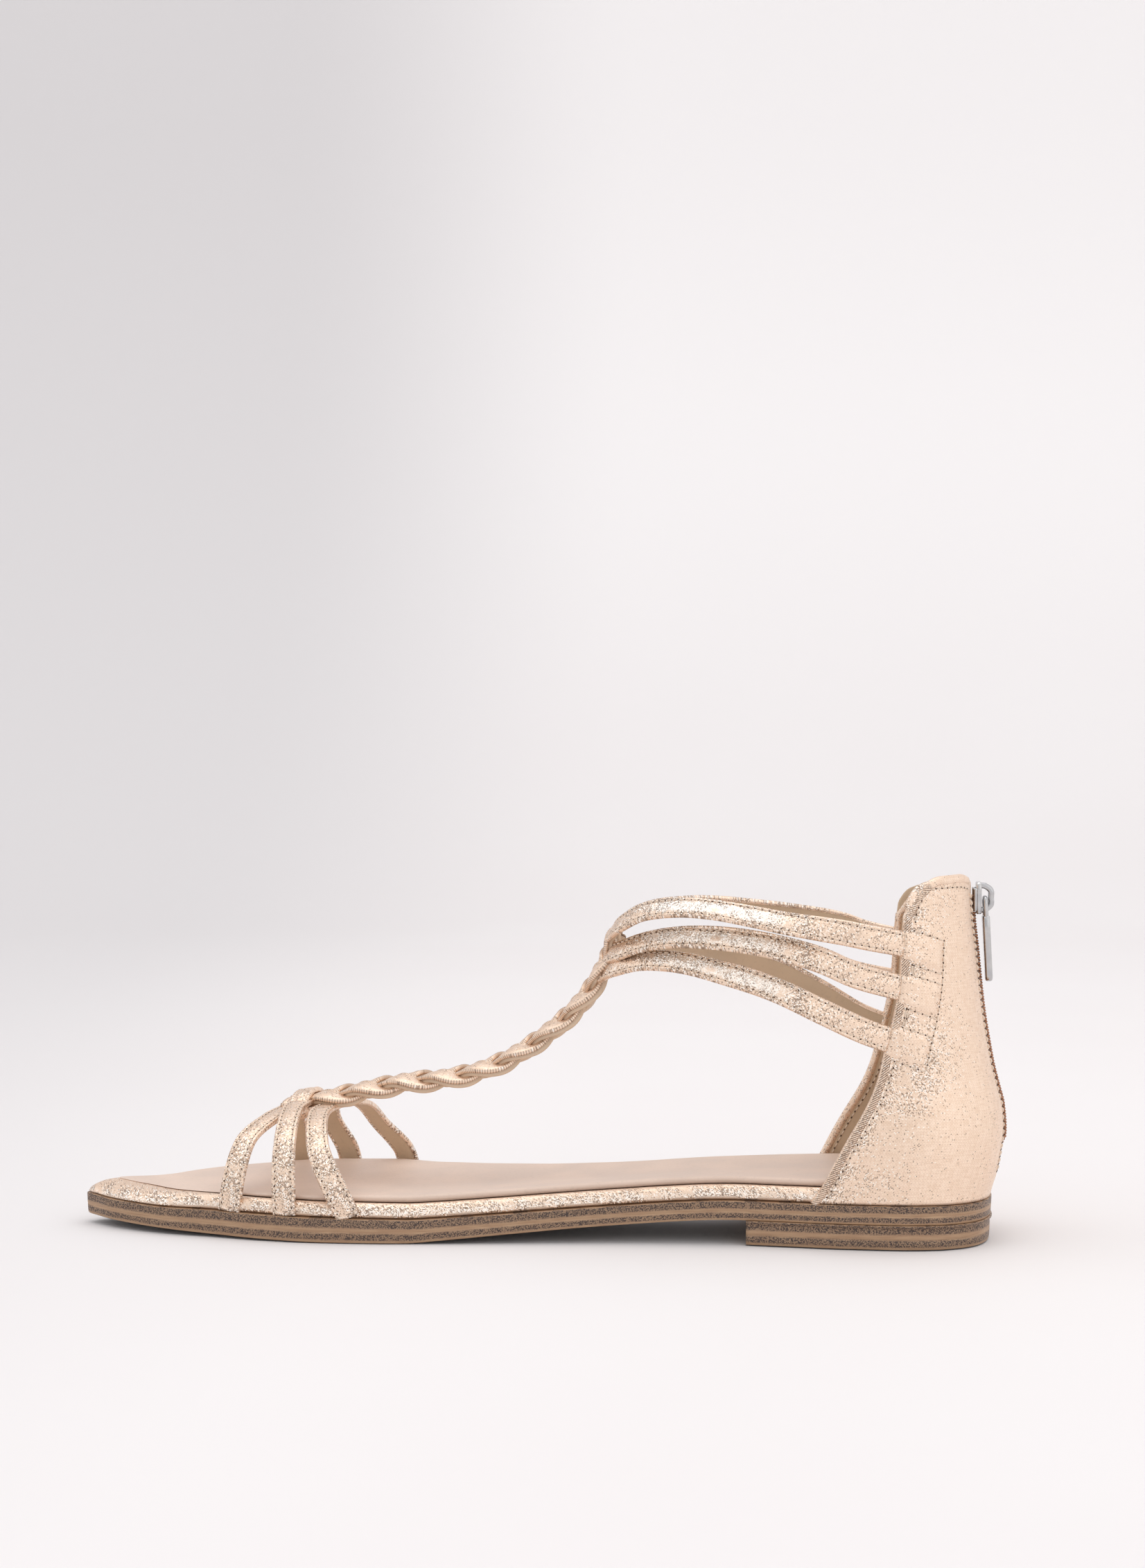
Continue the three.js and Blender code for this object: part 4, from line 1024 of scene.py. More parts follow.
def add_stitches(build, line):
    """Stitches along a row, with dark discs between them painted as the shade inside the stitch holes."""
    points, normals = line
    run = lengths_along(points)
    count = int(run[-1] / STITCH_PITCH)
    if count < 1:
        return
    step = run[-1] / count
    turn = np.linspace(0, 2 * math.pi, STITCH_SIDES, endpoint=False)[:, None]

    def place(s):
        out = unit(read_at(s, run, normals))
        along = unit(read_at(s + 0.1, run, points) - read_at(s - 0.1, run, points))
        return read_at(s, run, points), out, along, np.cross(out, along)

    for k in range(count):
        loops = []
        for part, size, lift in STITCH_FORM[1:]:
            centre, out, _, side = place(step * (k + 0.5 + STITCH_SHARE * (part - 0.5)))
            around = side * np.cos(turn) + out * np.sin(turn)
            loops.append(centre + (out * lift + around * size) * STITCH_RADIUS)
        capped(build, loops)
        # A dark disc sunk at each stitch hole paints the shade inside it
        centre, out, along, side = place(step * k)
        disc = centre - out * 0.1 + (side * 0.8 * np.cos(turn) + along * np.sin(turn)) * HOLE_RADIUS
        first = build.add(np.vstack([disc, disc + out * 0.16 - (disc - centre) * 0.3]))
        second = first + STITCH_SIDES
        for i in range(STITCH_SIDES):
            j = (i + 1) % STITCH_SIDES
            build.face((first + i, first + j, second + j, second + i), 1)
        build.face(range(second, second + STITCH_SIDES), 1)


def stitched(name, lines, replaces):
    build = Build()
    for line in lines:
        add_stitches(build, line)
    return build.piece(name, [STITCH, STITCH_HOLE_SHADE], replaces)


def toe_path(name, steps=110):
    """Middle line of a toe strap, as in the part's source."""
    along_strap = table_curve(TOE_STRAPS, "around", name)
    ridge = RIDGE_SIDE * BALL_WIDTH
    foot_inset = EDGE_MARGIN / 3 + STRAP_THICKNESS / 2
    arch = TOE_RISE[name] * TOE_ARCH
    reach = {}
    for side in (-1, 1):
        foot = np.array(float(angle_of(along_strap(0.0 if side < 0 else 1.0))))
        normal = outline_normal(foot, side)
        edge = float(edge_of_sole(foot, side)[1])
        reach[side] = (normal, abs(edge - ridge) - foot_inset / abs(float(normal[1])))
    points, outwards = [], []
    for share in np.linspace(0, 1, steps + 1):
        angle = math.pi * (share - 0.035 * math.sin(4 * math.pi * share))
        x = float(x_at(along_strap(share)))
        side = -1 if share < 0.5 else 1
        normal, half = reach[side]
        power = OUTER_ARCH if side < 0 else INNER_ARCH
        c, s = abs(math.cos(angle)), max(0.0, math.sin(min(math.pi, angle)))
        y = ridge + side * half * c ** (2 / power)
        z = float(sole_top(x)) + CLEARANCE + arch * s ** (2 / power)
        points.append((x, y, z))
        level = c ** (2 - 2 / power) / half
        rise = s ** (2 - 2 / power) / arch
        outwards.append((normal[0] * level * c, normal[1] * level, rise))
    return resampled_pair(np.array(points), unit(np.array(outwards)), steps)


def resampled_pair(points, others, count):
    """Points and the directions that go with them, spaced evenly along the line."""
    run = lengths_along(points)
    wanted = np.linspace(0, run[-1], count + 1)
    return read_at(wanted, run, points), unit(read_at(wanted, run, others))


def toe_strap(name):
    points, outwards = toe_path(name)
    share = np.linspace(0, 1, len(points))
    foot = 1 - smoothstep(np.minimum(share, 1 - share), 0.02, 0.3)
    widths = TOE_STRAP_WIDTH + 0.8 * foot
    sparkle = 0.25 + 0.75 * (1 - smoothstep(np.minimum(share, 1 - share), 0.12, 0.34))
    build = Build()
    across, outward = strap(build, points, outwards, widths, STRAP_THICKNESS, sparkle)
    build.piece(f"toe_strap_{name}", [CLOTH, LEATHER], ["strap_upper"])
    lines = stitch_lines(points, across, outward, widths, STRAP_THICKNESS)
    stitched(f"toe_strap_{name}_stitches", lines, ["strap_upper"])


# Heel counter
COUNTER_BACK = table_curve(COUNTER, "height", "back")
COUNTER_HALF = table_curve(COUNTER, "height", "half")
COUNTER_FRONT = table_curve(COUNTER, "height", "front")
OUTER_TOP = table_curve(COUNTER_TOP, "around", "outer")
INNER_TOP = table_curve(COUNTER_TOP, "around", "inner")
SECTION_POINTS = 96
ZIP_SPAN = float(OUTER_TOP(0.0)) * COUNTER_HEIGHT
STRAP_ENDS = {
    side: [column(rows, key)[0] * COUNTER_HEIGHT for rows in ANKLE_STRAPS.values()]
    for side, key in ((-1, "outer"), (1, "inner"))
}


def counter_top(around, side):
    return OUTER_TOP(around) if side < 0 else INNER_TOP(around)


def sole_section(height, side):
    angles = np.linspace(0, float(angle_of(COUNTER_FRONT(height))), SECTION_POINTS + 1)
    points = outline_points(angles, side, EDGE_MARGIN)
    points[:, 0] += COUNTER_BACK(height) * LENGTH * (1 - np.linspace(0, 1, SECTION_POINTS + 1))
    return points


def ankle_section(height, side):
    back = float(x_at(-COUNTER_BACK(height)))
    half = float(COUNTER_HALF(height)) * BALL_WIDTH
    depth = back - float(x_at(COUNTER_FRONT(height)))
    power = 2.6 - 0.5 * height
    rounding = (0.4 - 0.05 * height) * BALL_WIDTH
    angle = np.linspace(0, math.pi / 2, SECTION_POINTS + 1)
    d = rounding * (1 - np.cos(angle) ** (2 / power))
    keep = d < depth
    points = np.stack([back - d[keep], side * half * np.sin(angle[keep]) ** (2 / power)], 1)
    reach = min(1.0, depth / rounding)
    end = half * (1 - (1 - reach) ** power) ** (1 / power)
    return np.vstack([points, [back - depth, side * end]])


SECTIONS = {}


def counter_section(height, side):
    """Points of the counter's outer face at one height, the way out of it there, and their distances."""
    key = (round(height, 5), side)
    if key not in SECTIONS:
        low = resample(sole_section(height, side), SECTION_POINTS)
        high = resample(ankle_section(height, side), SECTION_POINTS)
        blend = float(smoothstep(height, 0.06, 0.3))
        points = resample(low + (high - low) * blend, SECTION_POINTS)
        along = tangents(points)
        normals = np.stack([side * along[:, 1], -side * along[:, 0]], 1)
        normals[0] = (1, 0)
        normals[normals[:, 1] * side < 0] *= -1
        SECTIONS[key] = (points, unit(normals), lengths_along(points))
    return SECTIONS[key]


def counter_point(side, distance, level, depth=0.0):
    """A point of the counter at a distance round from the zip's middle line, and the way out there."""
    points, normals, run = counter_section(level, side)
    normal = unit(read_at(distance, run, normals))
    flat = read_at(distance, run, points) - normal * depth
    top = float(counter_top(distance / run[-1], side)) * COUNTER_HEIGHT
    return np.array([*flat, COUNTER_BASE + top * level]), np.array([*normal, 0.0])


def section_length(level, side):
    return counter_section(level, side)[2][-1]


def slot_half(z):
    """Half the width of the zip's slot at a height."""
    radius = ZIP_SLOT / 2
    above = z - COUNTER_BASE - ZIP_FOOT
    if above <= 0:
        return 0.0
    return radius if above > radius else math.sqrt(radius**2 - (radius - above) ** 2)


def patch_raise(from_edge, height, side):
    """How far the cloth stands out over the strap ends."""
    raised = 0.0
    for at_edge in STRAP_ENDS[side]:
        aside = abs(height - at_edge + PATCH_SLOPE * from_edge)
        over = smoothstep(ANKLE_STRAP_WIDTH / 2 + 0.9 - aside, 0, 1.3)
        inside = smoothstep(PATCH_LENGTH + 0.8 - from_edge, 0, 1.4)
        raised = max(raised, float(over * inside))
    return PATCH_STEP * raised


def rounding_at(distance):
    radius = 0.75
    near = min(max(distance, 0.0), radius)
    return radius - math.sqrt(radius**2 - (radius - near) ** 2)


def counter_levels():
    """Levels of the counter's rows, closer together at the top edge and at the foot of the slot."""
    top = [1 - d / COUNTER_HEIGHT for d in (1.6, 1.0, 0.55, 0.22, 0.05, 0.0)]
    foot = [(ZIP_FOOT + d) / ZIP_SPAN for d in (0.0, 0.12, 0.4, 0.9, 1.6, 2.5, 3.5)]
    low = np.linspace(0, foot[0], 11)[:-1].tolist()
    middle = np.linspace(foot[-1], top[0], 74)[1:-1].tolist()
    return low + foot + middle + top


def counter_sparkle(from_edge, height, raised):
    """Where glints and dark specks are painted on the foil: along the front edge, near the top and foot, and
    in a spot under the straps.
    """
    sparkle = 0.75 * (1 - smoothstep(from_edge, 2.0, 9.0))
    sparkle += 0.25 * smoothstep(height, 50, 88) * (1 - smoothstep(from_edge, 6, 20))
    sparkle += 0.35 * (1 - smoothstep(height, 2, 22)) * (1 - smoothstep(from_edge, 4, 30))
    sparkle += 0.9 * math.exp(-(((from_edge - 12) / 7) ** 2) - ((height - 36) / 12) ** 2)
    return min(1.0, float(sparkle)) * (0.25 if raised > 0.25 else 1)


def counter_rows(side, levels):
    """Rows of the shell on one side: outer point, inner point and the cloth place of each."""
    edges = [0.0, 0.06, 0.22, 0.5, 0.95, 1.6]
    rows = []
    for level in levels:
        start = slot_half(COUNTER_BASE + ZIP_SPAN * level)
        length = section_length(level, side)
        middle = np.linspace(start + edges[-1], length - edges[-1], 58)[1:-1]
        row = []
        for distance in [start + d for d in edges] + list(middle) + [length - d for d in edges[::-1]]:
            point, normal = counter_point(side, distance, level)
            height = point[2] - COUNTER_BASE
            from_edge = length - distance
            from_slot = distance - start if start > 0 else from_edge
            drop = rounding_at(min((1 - level) * COUNTER_HEIGHT, from_slot, from_edge))
            raised = patch_raise(from_edge, height, side)
            sparkle = counter_sparkle(from_edge, height, raised)
            outer, inner = point + normal * (raised - drop), point - normal * (UPPER_WALL - drop)
            row.append((outer, inner, (distance, height, sparkle), (distance, height, 0)))
        rows.append(row)
    return np.moveaxis(np.array(rows), 2, 0)


def counter_shell():
    build = Build()
    levels = counter_levels()
    for side in (-1, 1):
        outer, inner, outer_cloth, inner_cloth = counter_rows(side, levels)
        first = grid(build, outer, outer_cloth, 0)
        second = grid(build, inner, inner_cloth, 1)
        rows, columns = outer.shape[:2]
        last = columns - 1
        for r in range(rows - 1):
            a, b = r * columns, (r + 1) * columns
            build.face((first + a + last, first + b + last, second + b + last, second + a + last))
            if slot_half(COUNTER_BASE + ZIP_SPAN * levels[r + 1]) > 0:
                build.face((first + a, first + b, second + b, second + a))
        top = (rows - 1) * columns
        for c in range(last):
            build.face((first + c, first + c + 1, second + c + 1, second + c))
            build.face((first + top + c, first + top + c + 1, second + top + c + 1, second + top + c))
    return build.piece("counter_shell", [CLOTH, LEATHER], ["heel_counter"])


def counter_line(side, places, lift=0.05, inward=False):
    """A row of points on the counter from (distance, level) places, with the way out at each."""
    points, normals = [], []
    for distance, level in places:
        length = section_length(level, side)
        point, normal = counter_point(side, distance, level)
        raised = patch_raise(length - distance, point[2] - COUNTER_BASE, side)
        if inward:
            points.append(point - normal * (UPPER_WALL + lift))
            normals.append(-normal)
        else:
            points.append(point + normal * (raised + lift))
            normals.append(normal)
    return np.array(points), np.array(normals)


def level_of(height, side, around):
    return height / (float(counter_top(around, side)) * COUNTER_HEIGHT)


def edge_path(side, inset, bottom=0.02, corner=10):
    """Places along the front edge and the top edge at a distance in from them."""
    top_level = 1 - inset / COUNTER_HEIGHT
    straight = np.linspace(bottom, 1 - corner / COUNTER_HEIGHT, 60)
    places = [(section_length(v, side) - inset, v) for v in straight]
    length = section_length(top_level, side)
    end = slot_half(COUNTER_BASE + COUNTER_HEIGHT) + 4.4
    round_start = places[-1]
    reach = length - inset - 3.5
    for t in np.linspace(0, 1, 14)[1:-1]:
        distance = (1 - t) ** 2 * round_start[0] + 2 * t * (1 - t) * (length - inset) + t * t * reach
        level = (1 - t) ** 2 * round_start[1] + 2 * t * (1 - t) * top_level + t * t * top_level
        places.append((min(distance, section_length(level, side) - inset * 0.9), level))
    places += [(d, top_level) for d in np.linspace(reach, end, 30)]
    return places


def counter_stitches():
    """Rows along the front and top edges, beside the zip, and round the strap ends."""
    lines = []
    reach = ANKLE_STRAP_WIDTH / 2 + 1.1
    rear = PATCH_LENGTH + 1.2
    for side in (-1, 1):
        ends = STRAP_ENDS[side]
        row = edge_path(side, 3.0)
        heights = [level * float(counter_top(1.0, side)) * COUNTER_HEIGHT for _, level in row]
        lines.append(counter_line(side, [at for at, h in zip(row, heights) if h > ends[0] + reach]))
        lines.append(counter_line(side, [at for at, h in zip(row, heights) if h < ends[-1] - reach]))
        lines.append(counter_line(side, row, inward=True))
        for aside in (2.0, 4.0):
            distance = ZIP_SLOT / 2 + aside
            levels = np.linspace((ZIP_FOOT - 3) / ZIP_SPAN, 1 - 3.4 / COUNTER_HEIGHT, 60)
            lines.append(counter_line(side, [(distance, v) for v in levels]))

        def place(from_edge, height):
            level = level_of(height, side, 0.85)
            length = section_length(level, side)
            return length - from_edge, level_of(height, side, 1 - from_edge / length)

        for height in ends:
            for way in (-1, 1):
                level = height + way * reach
                row = [place(e, level - PATCH_SLOPE * e) for e in np.linspace(3.0, rear, 9)]
                lines.append(counter_line(side, row))
        for upper, lower in zip(ends, ends[1:]):
            for e in (2.9, 3.5):
                bar = np.linspace(upper - reach, lower + reach, 5) - PATCH_SLOPE * e
                lines.append(counter_line(side, [place(e, h) for h in bar]))
        down = np.linspace(ends[0] + reach, ends[-1] - reach, 40) - PATCH_SLOPE * rear
        lines.append(counter_line(side, [place(rear, h) for h in down]))
    return stitched("counter_stitches", lines, ["heel_counter"])


def counter_binding(side, label):
    """Folded edge of the counter, from the sole up its front edge and along its top."""
    places = edge_path(side, 0.0, bottom=0.0, corner=9)
    points, normals = [], []
    for distance, level in places:
        point, normal = counter_point(side, distance, level, UPPER_WALL / 2)
        points.append(point)
        normals.append(normal)
    points, normals = resampled_pair(np.array(points), np.array(normals), 150)
    build = Build()
    _, across, outward = frames(points, normals)
    inward = across if float(across[10] @ np.array([1.0, 0, 0])) > 0 else -across
    out = UPPER_WALL / 2
    section = (
        (2.0, out - 0.2), (1.85, out + 0.14), (1.3, out + 0.3), (0.6, out + 0.28), (0.0, out + 0.05),
        (-0.34, out - 0.5), (-0.42, 0), (-0.34, -out + 0.5), (0.0, -out - 0.05), (0.7, -out - 0.22),
        (1.7, -out - 0.12), (1.85, -out + 0.2),
    )
    run = lengths_along(points)
    girth = lengths_along(np.array(section))
    # Shows the hatch, and also sets how strongly glints and dark specks are painted on the binding
    hatch_and_glints = 0.35 * smoothstep(COUNTER_BASE + COUNTER_HEIGHT - points[:, 2], 1, 3)
    loops, cloth = [], []
    for k in range(len(points)):
        loops.append([points[k] + inward[k] * a + outward[k] * o for a, o in section])
        cloth.append([(run[k], g, hatch_and_glints[k]) for g in girth])
    capped(build, loops, cloth, [0, 1, 1, 1] + [0] * 8)
    return build.piece(f"counter_binding_{label}", [CLOTH, CLOTH_EDGE], ["heel_counter"])


def ankle_path(name, steps=200):
    """Middle line of an ankle strap, as in the part's source."""
    rows = ANKLE_STRAPS[name]
    values = [dict(zip(rows[0], row)) for row in rows[1:]]
    sides = {-1: [], 1: []}
    for i, row in enumerate(values):
        for side, key in ((-1, "outer"), (1, "inner")):
            if i == 0:
                level = row[key] / float(counter_top(1.0, side))
                length = section_length(level, side)
                point, _ = counter_point(side, length, level, UPPER_WALL / 2)
                point[0] += 0.6
            else:
                height = COUNTER_BASE + row[key] * COUNTER_HEIGHT
                point = np.array([x_at(row["along"]), side * row["side"] * BALL_WIDTH, height])
            sides[side].append(point)
    points = np.array(sides[-1] + sides[1][:-1][::-1])
    leans = column(rows, "lean")
    leans = np.concatenate([leans, leans[:-1][::-1]])
    shares = np.linspace(0, 1, steps + 1)
    curve = spline(points, shares)
    lean = np.radians(smooth(np.linspace(0, 1, len(leans)), leans)(shares))
    level = tangents(curve)
    level[:, 2] = 0
    level = unit(level)
    up = np.array([0.0, 0.0, 1.0])
    flat = np.cross(up, level)
    return curve, flat * np.cos(lean)[:, None] + up * np.sin(lean)[:, None]


def ankle_strap(name):
    points, outwards = ankle_path(name)
    points, outwards = resampled_pair(points, outwards, 220)
    widths = np.full(len(points), float(ANKLE_STRAP_WIDTH))
    x = points[:, 0]
    sparkle = 0.4 + 0.6 * smoothstep(-x, 12, 26) * (1 - smoothstep(-x, 64, 76))
    # Above 1 the sparkle paints a highlight down the middle of the strap, where it leans up towards the lamp
    sparkle += 0.9 * smoothstep(-x, 24, 36) * (1 - smoothstep(-x, 58, 70))
    build = Build()
    across, outward = strap(build, points, outwards, widths, STRAP_THICKNESS, sparkle)
    build.piece(f"ankle_strap_{name}", [CLOTH, LEATHER], ["strap_upper"])
    lines = stitch_lines(points, across, outward, widths, STRAP_THICKNESS)
    stitched(f"ankle_strap_{name}_stitches", lines, ["strap_upper"])


# Braid
def braid_line(steps):
    points = np.stack(
        [
            x_at(column(BRAID, "along")),
            column(BRAID, "side") * BALL_WIDTH,
            column(BRAID, "height") * COUNTER_HEIGHT,
        ],
        1,
    )
    return resample(spline(points, np.linspace(0, 1, 800)), steps)


def strand_section(width, thickness):
    """A folded strand: piped edges and a groove inside them, with its lining bulging below."""
    above = (
        (0, 0.1), (0.1, 0.5), (0.35, 0.7), (0.6, 0.6), (0.8, 0.4), (1, 0.44), (1.3, 0.62), (1.8, 0.7),
        (2.4, 0.76),
    )
    below = ((0.1, -0.28), (0.85, -0.36), (0.45, -0.85), (0.9, -1.45), (1.9, -1.7))
    upper, lower = mirrored_section(width, thickness, above, 0.8, below, -1.7)
    piping = [2] * 4
    # The turn-in under each piped edge takes the piping's darker striped cloth, which also paints the shade
    # of the groove below the piping
    lining = piping + [0] * (len(upper) - 9) + piping + [2] * 2 + [1] * (len(lower) - 3) + [2] * 2
    return np.array(upper + lower), lining


def braid_strand(number):
    steps = 260
    line = braid_line(steps)
    along = tangents(line)
    side = np.tile([0.0, 1.0, 0.0], (steps + 1, 1))
    out = unit(np.cross(along, side))
    out[out[:, 2] < 0] *= -1
    turn = 2 * math.pi * lengths_along(line) / BRAID_PERIOD + number * 2 * math.pi / 3
    swing, rise = np.sin(turn)[:, None], np.sin(2 * turn)[:, None]
    run = lengths_along(line)
    tuck = smoothstep(run, run[-1] - 13, run[-1])[:, None]
    points = line + side * BRAID_SWING * swing * (1 - 0.55 * tuck) + out * (BRAID_RISE * rise + 0.5)
    points[:, 0] -= 1.2 * tuck[:, 0]
    lean = np.radians(STRAND_LEAN) * swing
    outwards = out * np.cos(lean) + side * np.sin(lean)
    build = Build()
    widths = STRAND_WIDTH * (1 - 0.45 * tuck[:, 0])
    # Sparkle falls below zero on each strand's far side: painted shade for the slits between the strands
    sparkle = 0.06 - 0.7 * smoothstep(swing[:, 0], 0.45, 0.85)
    strap(build, points, outwards, widths, STRAND_THICKNESS, sparkle, strand_section)
    materials = [CLOTH, STRAND_LINING, CLOTH_PIPING]
    build.piece(f"braid_strand_{number + 1}", materials, ["strap_upper"])


def braid_knot():
    """End of the front strap, tucked over the start of the braid."""
    start = braid_line(60)
    centre = start[3] + np.array([0.0, 0.0, -0.6])
    along = tangents(start)[3]
    side = np.array([0.0, 1.0, 0.0])
    up = unit(np.cross(along, side))
    up = up if up[2] > 0 else -up
    turn = np.linspace(math.radians(-35), math.radians(215), 60)[:, None]
    skew = along * (1.6 * np.cos(turn))
    points = centre + side * 8.2 * np.cos(turn) + up * 4.0 * np.sin(turn) + skew
    outwards = side * np.cos(turn) / 8.2 + up * np.sin(turn) / 4.0
    build = Build()
    widths = 5.2 + 0.5 * np.sin(np.linspace(0, math.pi, 60))
    strap(build, points, unit(outwards), widths, STRAP_THICKNESS, np.full(60, 0.3))
    build.piece("braid_knot", [CLOTH, LEATHER], ["strap_upper"])


# Zip
ZIP_TOP = 0.985


def back_face(level):
    return float(x_at(-COUNTER_BACK(level)))


def zip_line(first, last, count, lift):
    """Points up the middle of the zip, a lift out from the middle of its tape."""
    levels = np.linspace(first, last, count)
    return np.array([(back_face(v) - UPPER_WALL / 2 + lift, 0, COUNTER_BASE + ZIP_SPAN * v) for v in levels])


def zip_tape():
    line = zip_line((ZIP_FOOT + CLEARANCE) / ZIP_SPAN, ZIP_TOP, 90, 0.0)
    half = ZIP_SLOT / 2 - CLEARANCE * 0.2
    thick = ZIP_TAPE / 2
    section = [(-half, thick * 0.6), (-half + 0.2, thick), (-0.4, thick), (0, thick * 0.4), (0.4, thick)]
    section += [(half - 0.2, thick), (half, thick * 0.6), (half, -thick), (0, -thick), (-half, -thick)]
    build = Build()
    loops, cloth = [], []
    for k, point in enumerate(line):
        height = point[2] - COUNTER_BASE - ZIP_FOOT
        fit = min(1.0, slot_half(point[2]) / (ZIP_SLOT / 2))
        loops.append([point + (o, a * fit, 0) for a, o in section])
        cloth.append([(height, a, 0) for a, _ in section])
    capped(build, loops, cloth)
    return build.piece("zip_tape_cloth", [TAPE], ["zip_tape"])


def zip_coil():
    """Coil of the zip: loops from each side that mesh over the middle."""
    build = Build()
    low = ZIP_FOOT + 2.2
    high = ZIP_SPAN * ZIP_TOP - 1
    count = int((high - low) / COIL_PITCH)
    half = COIL_WIDTH / 2
    for k in range(count):
        level = (low + k * COIL_PITCH) / ZIP_SPAN
        side = 1 if k % 2 else -1
        base = back_face(level) - UPPER_WALL / 2 + ZIP_TAPE / 2 - COIL_HEIGHT * max(0.0, 1 - k / 4)
        z = COUNTER_BASE + ZIP_SPAN * level
        path = (
            (base + 0.1, side * half, z),
            (base + COIL_HEIGHT * 0.8, side * half * 0.92, z + 0.05),
            (base + COIL_HEIGHT, side * half * 0.3, z),
            (base + COIL_HEIGHT * 0.95, -side * half * 0.34, z - 0.03),
            (base + 0.15, -side * half * 0.42, z - 0.05),
        )
        tube(build, wire(path, 30, 8), COIL_WIRE, 6)
    return build.piece("zip_coil", [COIL], ["zip_tape"])


SLIDER_TOP = COUNTER_BASE + ZIP_SPAN + 0.6
SLIDER_FOOT = 1 - SLIDER_LENGTH / COUNTER_HEIGHT
SLIDER_FACE = back_face(SLIDER_FOOT) - UPPER_WALL / 2 + ZIP_TAPE / 2 + COIL_HEIGHT + CLEARANCE
PIVOT_X = SLIDER_FACE + SLIDER_PLATE + CLEARANCE + PULL_WIRE / 2
PIVOT_Z = SLIDER_TOP - SLIDER_LENGTH / 2


def slider_outline():
    half, long = SLIDER_WIDTH / 2, SLIDER_LENGTH / 2
    right = (
        (0.62, -1), (0.72, -0.93), (0.86, -0.4), (0.95, 0.1), (1, 0.5), (0.98, 0.8), (0.82, 0.97),
        (0.55, 1),
    )
    points = [(y * half, PIVOT_Z + z * long) for y, z in right]
    return points + [(-y, z) for y, z in points[::-1]]


def slider():
    build = Build()
    front = SLIDER_FACE + SLIDER_PLATE
    slab(build, slider_outline(), front, SLIDER_PLATE, 0.35)
    half = SLIDER_WIDTH / 2
    for side in (-1, 1):
        rows = ((0.78, -3.6), (0.9, 0), (0.98, 2.8))
        wing = [(SLIDER_FACE - 0.35, side * half * share, PIVOT_Z + z) for share, z in rows]
        tube(build, wire(wing, 30, 14), 0.55, 10)
    post = SLIDER_LENGTH / 2 - BRIDGE_BAR
    reach = PIVOT_X + PULL_WIRE / 2 + CLEARANCE + BRIDGE_BAR / 2
    rows = (
        (front - 0.3, -1), (front + 0.9, -0.98), (reach, -0.6), (reach + 0.1, 0), (reach, 0.6),
        (front + 0.9, 0.98), (front - 0.3, 1),
    )
    bridge = wire([(x, 0, PIVOT_Z + post * share) for x, share in rows], 80, 40)
    tube(build, bridge, BRIDGE_BAR / 2, 12, flat=BRIDGE_WIDTH / BRIDGE_BAR)
    return build.piece("slider_body", [METAL], ["zip_slider"])


def pull():
    """Wire eye and flat tab, hanging a little off the counter."""
    build = Build()
    half = PULL_WIDTH / 2 - PULL_WIRE / 2
    foot = -PULL_EYE + PULL_WIRE
    corner = 1.3
    eye = []
    for cy, cz, first in ((half, 0, 90), (half, foot - 1, 0), (-half, foot - 1, -90), (-half, 0, 180)):
        sy, sz = math.copysign(corner, cy), (corner if cz == 0 else -corner)
        for k in range(5):
            turn = math.radians(first - 90 * k / 4)
            eye.append((0, cy - sy + corner * math.cos(turn), cz - sz + corner * math.sin(turn)))
    eye = resample(np.vstack([eye, eye[:1]]), 60)[:-1]
    tube(build, eye, PULL_WIRE / 2 * 0.92, 12, closed=True)
    wide = PULL_WIDTH / 2
    end = wide * 0.8
    low = foot + end - PULL_TAB
    shoulder = [(wide * 0.86, foot), (wide, foot - 1.2), (wide * 0.97, foot - 4)]
    tab = shoulder + [(end * math.cos(t), low + end * math.sin(t)) for t in np.linspace(0, -math.pi, 15)]
    tab += [(-y, z) for y, z in shoulder[::-1]]
    slab(build, tab, PULL_THICKNESS / 2, PULL_THICKNESS, 0.5)
    tilt = math.radians(-PULL_TILT)
    points = np.array(build.points)
    turned = points.copy()
    turned[:, 0] = points[:, 0] * math.cos(tilt) + points[:, 2] * math.sin(tilt) + PIVOT_X
    turned[:, 2] = -points[:, 0] * math.sin(tilt) + points[:, 2] * math.cos(tilt) + PIVOT_Z
    build.points = turned.tolist()
    return build.piece("pull_tab", [METAL], ["zip_pull"], body="pull")


# Stage, light and camera
def backdrop():
    """Pale floor that curves up into a wall behind."""
    depth, rise, bend = 1.6, 2.2, 0.6
    profile = [(-2.2, 0)]
    for t in np.linspace(0, math.pi / 2, 16):
        profile.append((depth - bend + bend * math.sin(t), bend - bend * math.cos(t)))
    profile.append((depth, rise))
    points = [(x, y, z) for x in (-2.5, 2.5) for y, z in profile]
    count = len(profile)
    faces = [(i, i + 1, i + 1 + count, i + count) for i in range(count - 1)]
    mesh = bpy.data.meshes.new("backdrop")
    mesh.from_pydata(points, [], faces)
    mesh.shade_smooth()
    g = Graph("pale_backdrop", Roughness=0.8)
    place = g.place()
    across, _, height = g.node("SeparateXYZ", {0: place}).outputs
    left = g.between(across, -420, -120)
    soft = g.noise(place, 0.004, 2.0)
    floor = g.mix(g.between(soft, 0.3, 0.7), FLOOR_DARK, FLOOR_LIGHT)
    pale = g.mix(g.between(height, 0, 400), floor, WALL)
    g.set(Base_Color=g.mix(left, WALL_SHADE, pale))
    mesh.materials.append(g.material)
    obj = bpy.data.objects.new("backdrop", mesh)
    bpy.context.scene.collection.objects.link(obj)


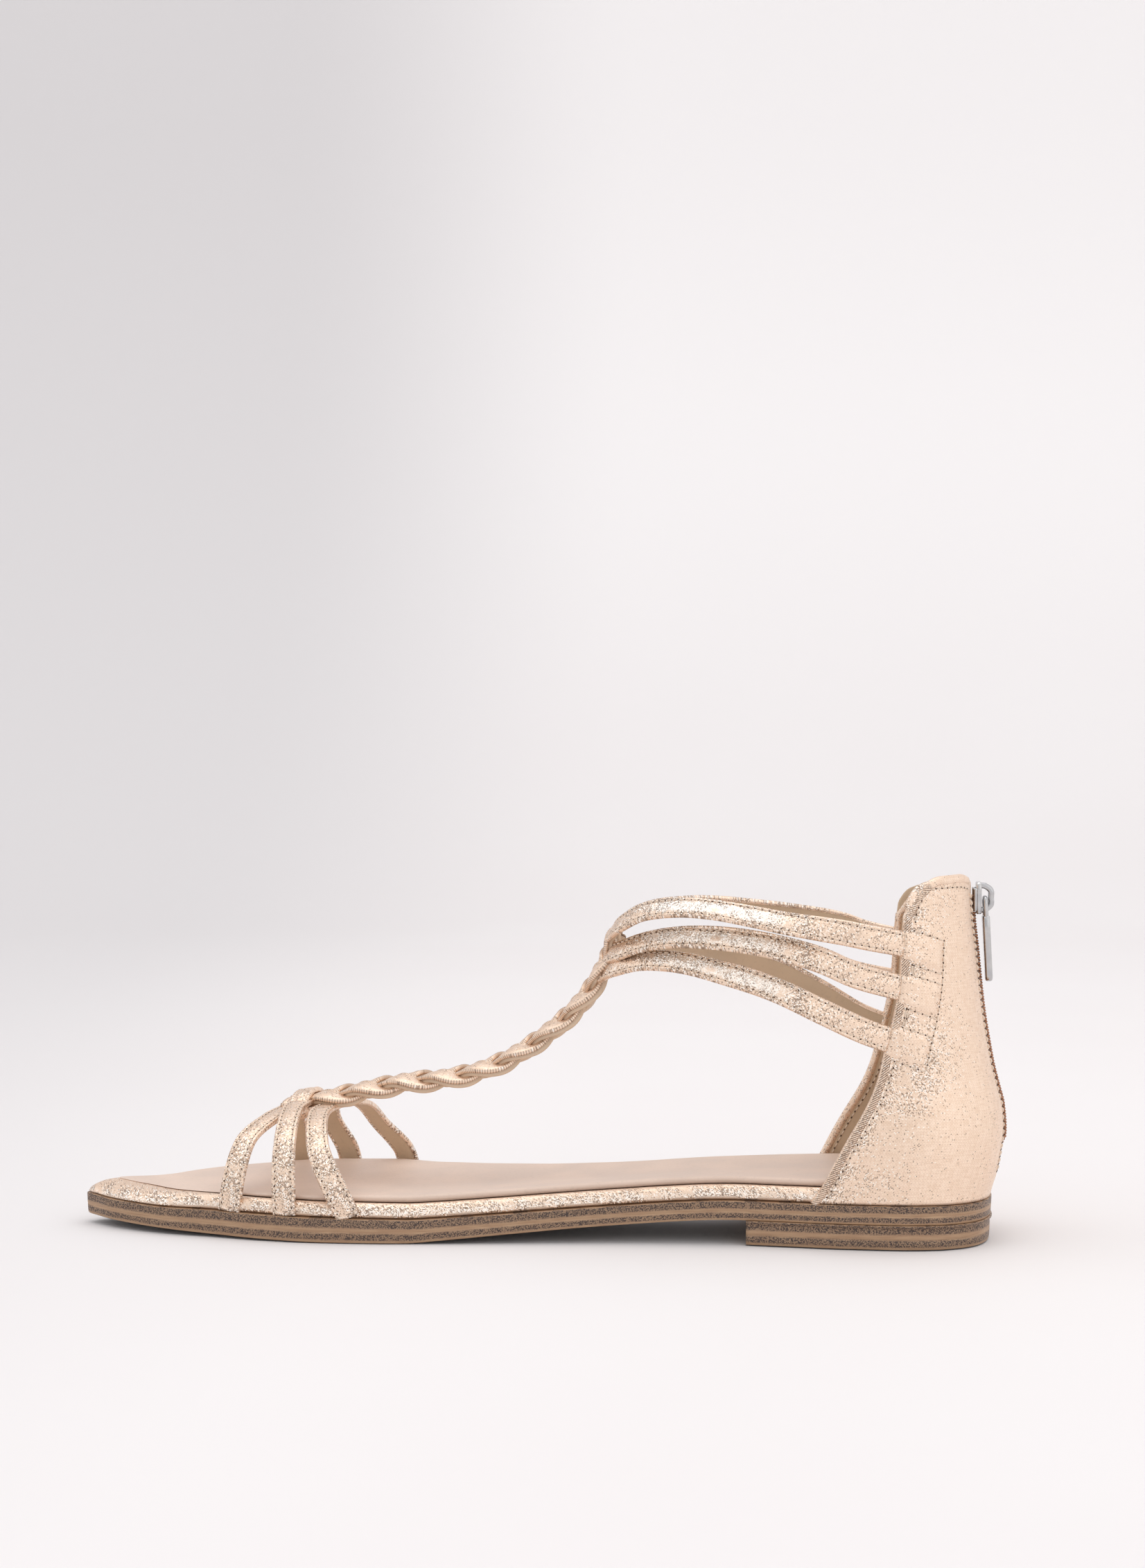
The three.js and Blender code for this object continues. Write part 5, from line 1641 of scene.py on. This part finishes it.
def softbox(name, place, target, width, height, power):
    """A soft rectangular lamp, sizes in metres and power in watts."""
    light = bpy.data.lights.new(name, "AREA")
    light.shape = "RECTANGLE"
    light.size = width
    light.size_y = height
    light.energy = power
    obj = bpy.data.objects.new(name, light)
    bpy.context.scene.collection.objects.link(obj)
    obj.location = place
    away = np.array(place, float) - np.array(target, float)
    flat = math.hypot(away[0], away[1])
    obj.rotation_euler = (math.atan2(flat, away[2]), 0, math.atan2(away[1], away[0]) + math.pi / 2)


def lights():
    """Two lamps, and a pale world that is dimmer behind the camera, on its left."""
    softbox("overhead", (-0.1, 0.1, 1.25), (-0.05, 0, 0.03), 1.1, 0.9, 2.2)
    softbox("front", (0.9, -1.6, 0.8), (-0.05, 0, 0.05), 2.0, 1.4, 1.5)
    world = bpy.data.worlds.new("studio")
    world.use_nodes = True
    tree = world.node_tree
    place = tree.nodes.new("ShaderNodeTexCoord")
    dot = tree.nodes.new("ShaderNodeVectorMath")
    dot.operation = "DOT_PRODUCT"
    dot.inputs[1].default_value = (-0.45, -0.88, 0.1)
    shade = tree.nodes.new("ShaderNodeMapRange")
    shade.interpolation_type = "SMOOTHSTEP"
    for index, value in ((1, 0.5), (2, 0.95), (3, 1.09), (4, 0.8)):
        shade.inputs[index].default_value = value
    tree.links.new(place.outputs["Generated"], dot.inputs[0])
    tree.links.new(dot.outputs["Value"], shade.inputs[0])
    background = tree.nodes["Background"]
    background.inputs[0].default_value = SKY
    tree.links.new(shade.outputs[0], background.inputs[1])
    bpy.context.scene.world = world
    bpy.context.scene.view_settings.view_transform = "Standard"


def camera():
    data = bpy.data.cameras.new("camera")
    data.lens = CAMERA_LENS
    data.sensor_width = CAMERA_SENSOR
    data.clip_start = 0.05
    obj = bpy.data.objects.new("camera", data)
    obj.location = CAMERA_PLACE
    obj.rotation_euler = [math.radians(turn) for turn in CAMERA_TURN]
    bpy.context.scene.collection.objects.link(obj)
    bpy.context.scene.camera = obj


backdrop()
lights()
camera()
outsole()
heel_layer()
tread_bars()
rim_wrap()
footbed()
for strap_name in TOE_RISE:
    toe_strap(strap_name)
for strap_name in ANKLE_STRAPS:
    ankle_strap(strap_name)
for strand in range(3):
    braid_strand(strand)
braid_knot()
counter_shell()
counter_binding(-1, "outer")
counter_binding(1, "inner")
counter_stitches()
zip_tape()
zip_coil()
slider()
pull()
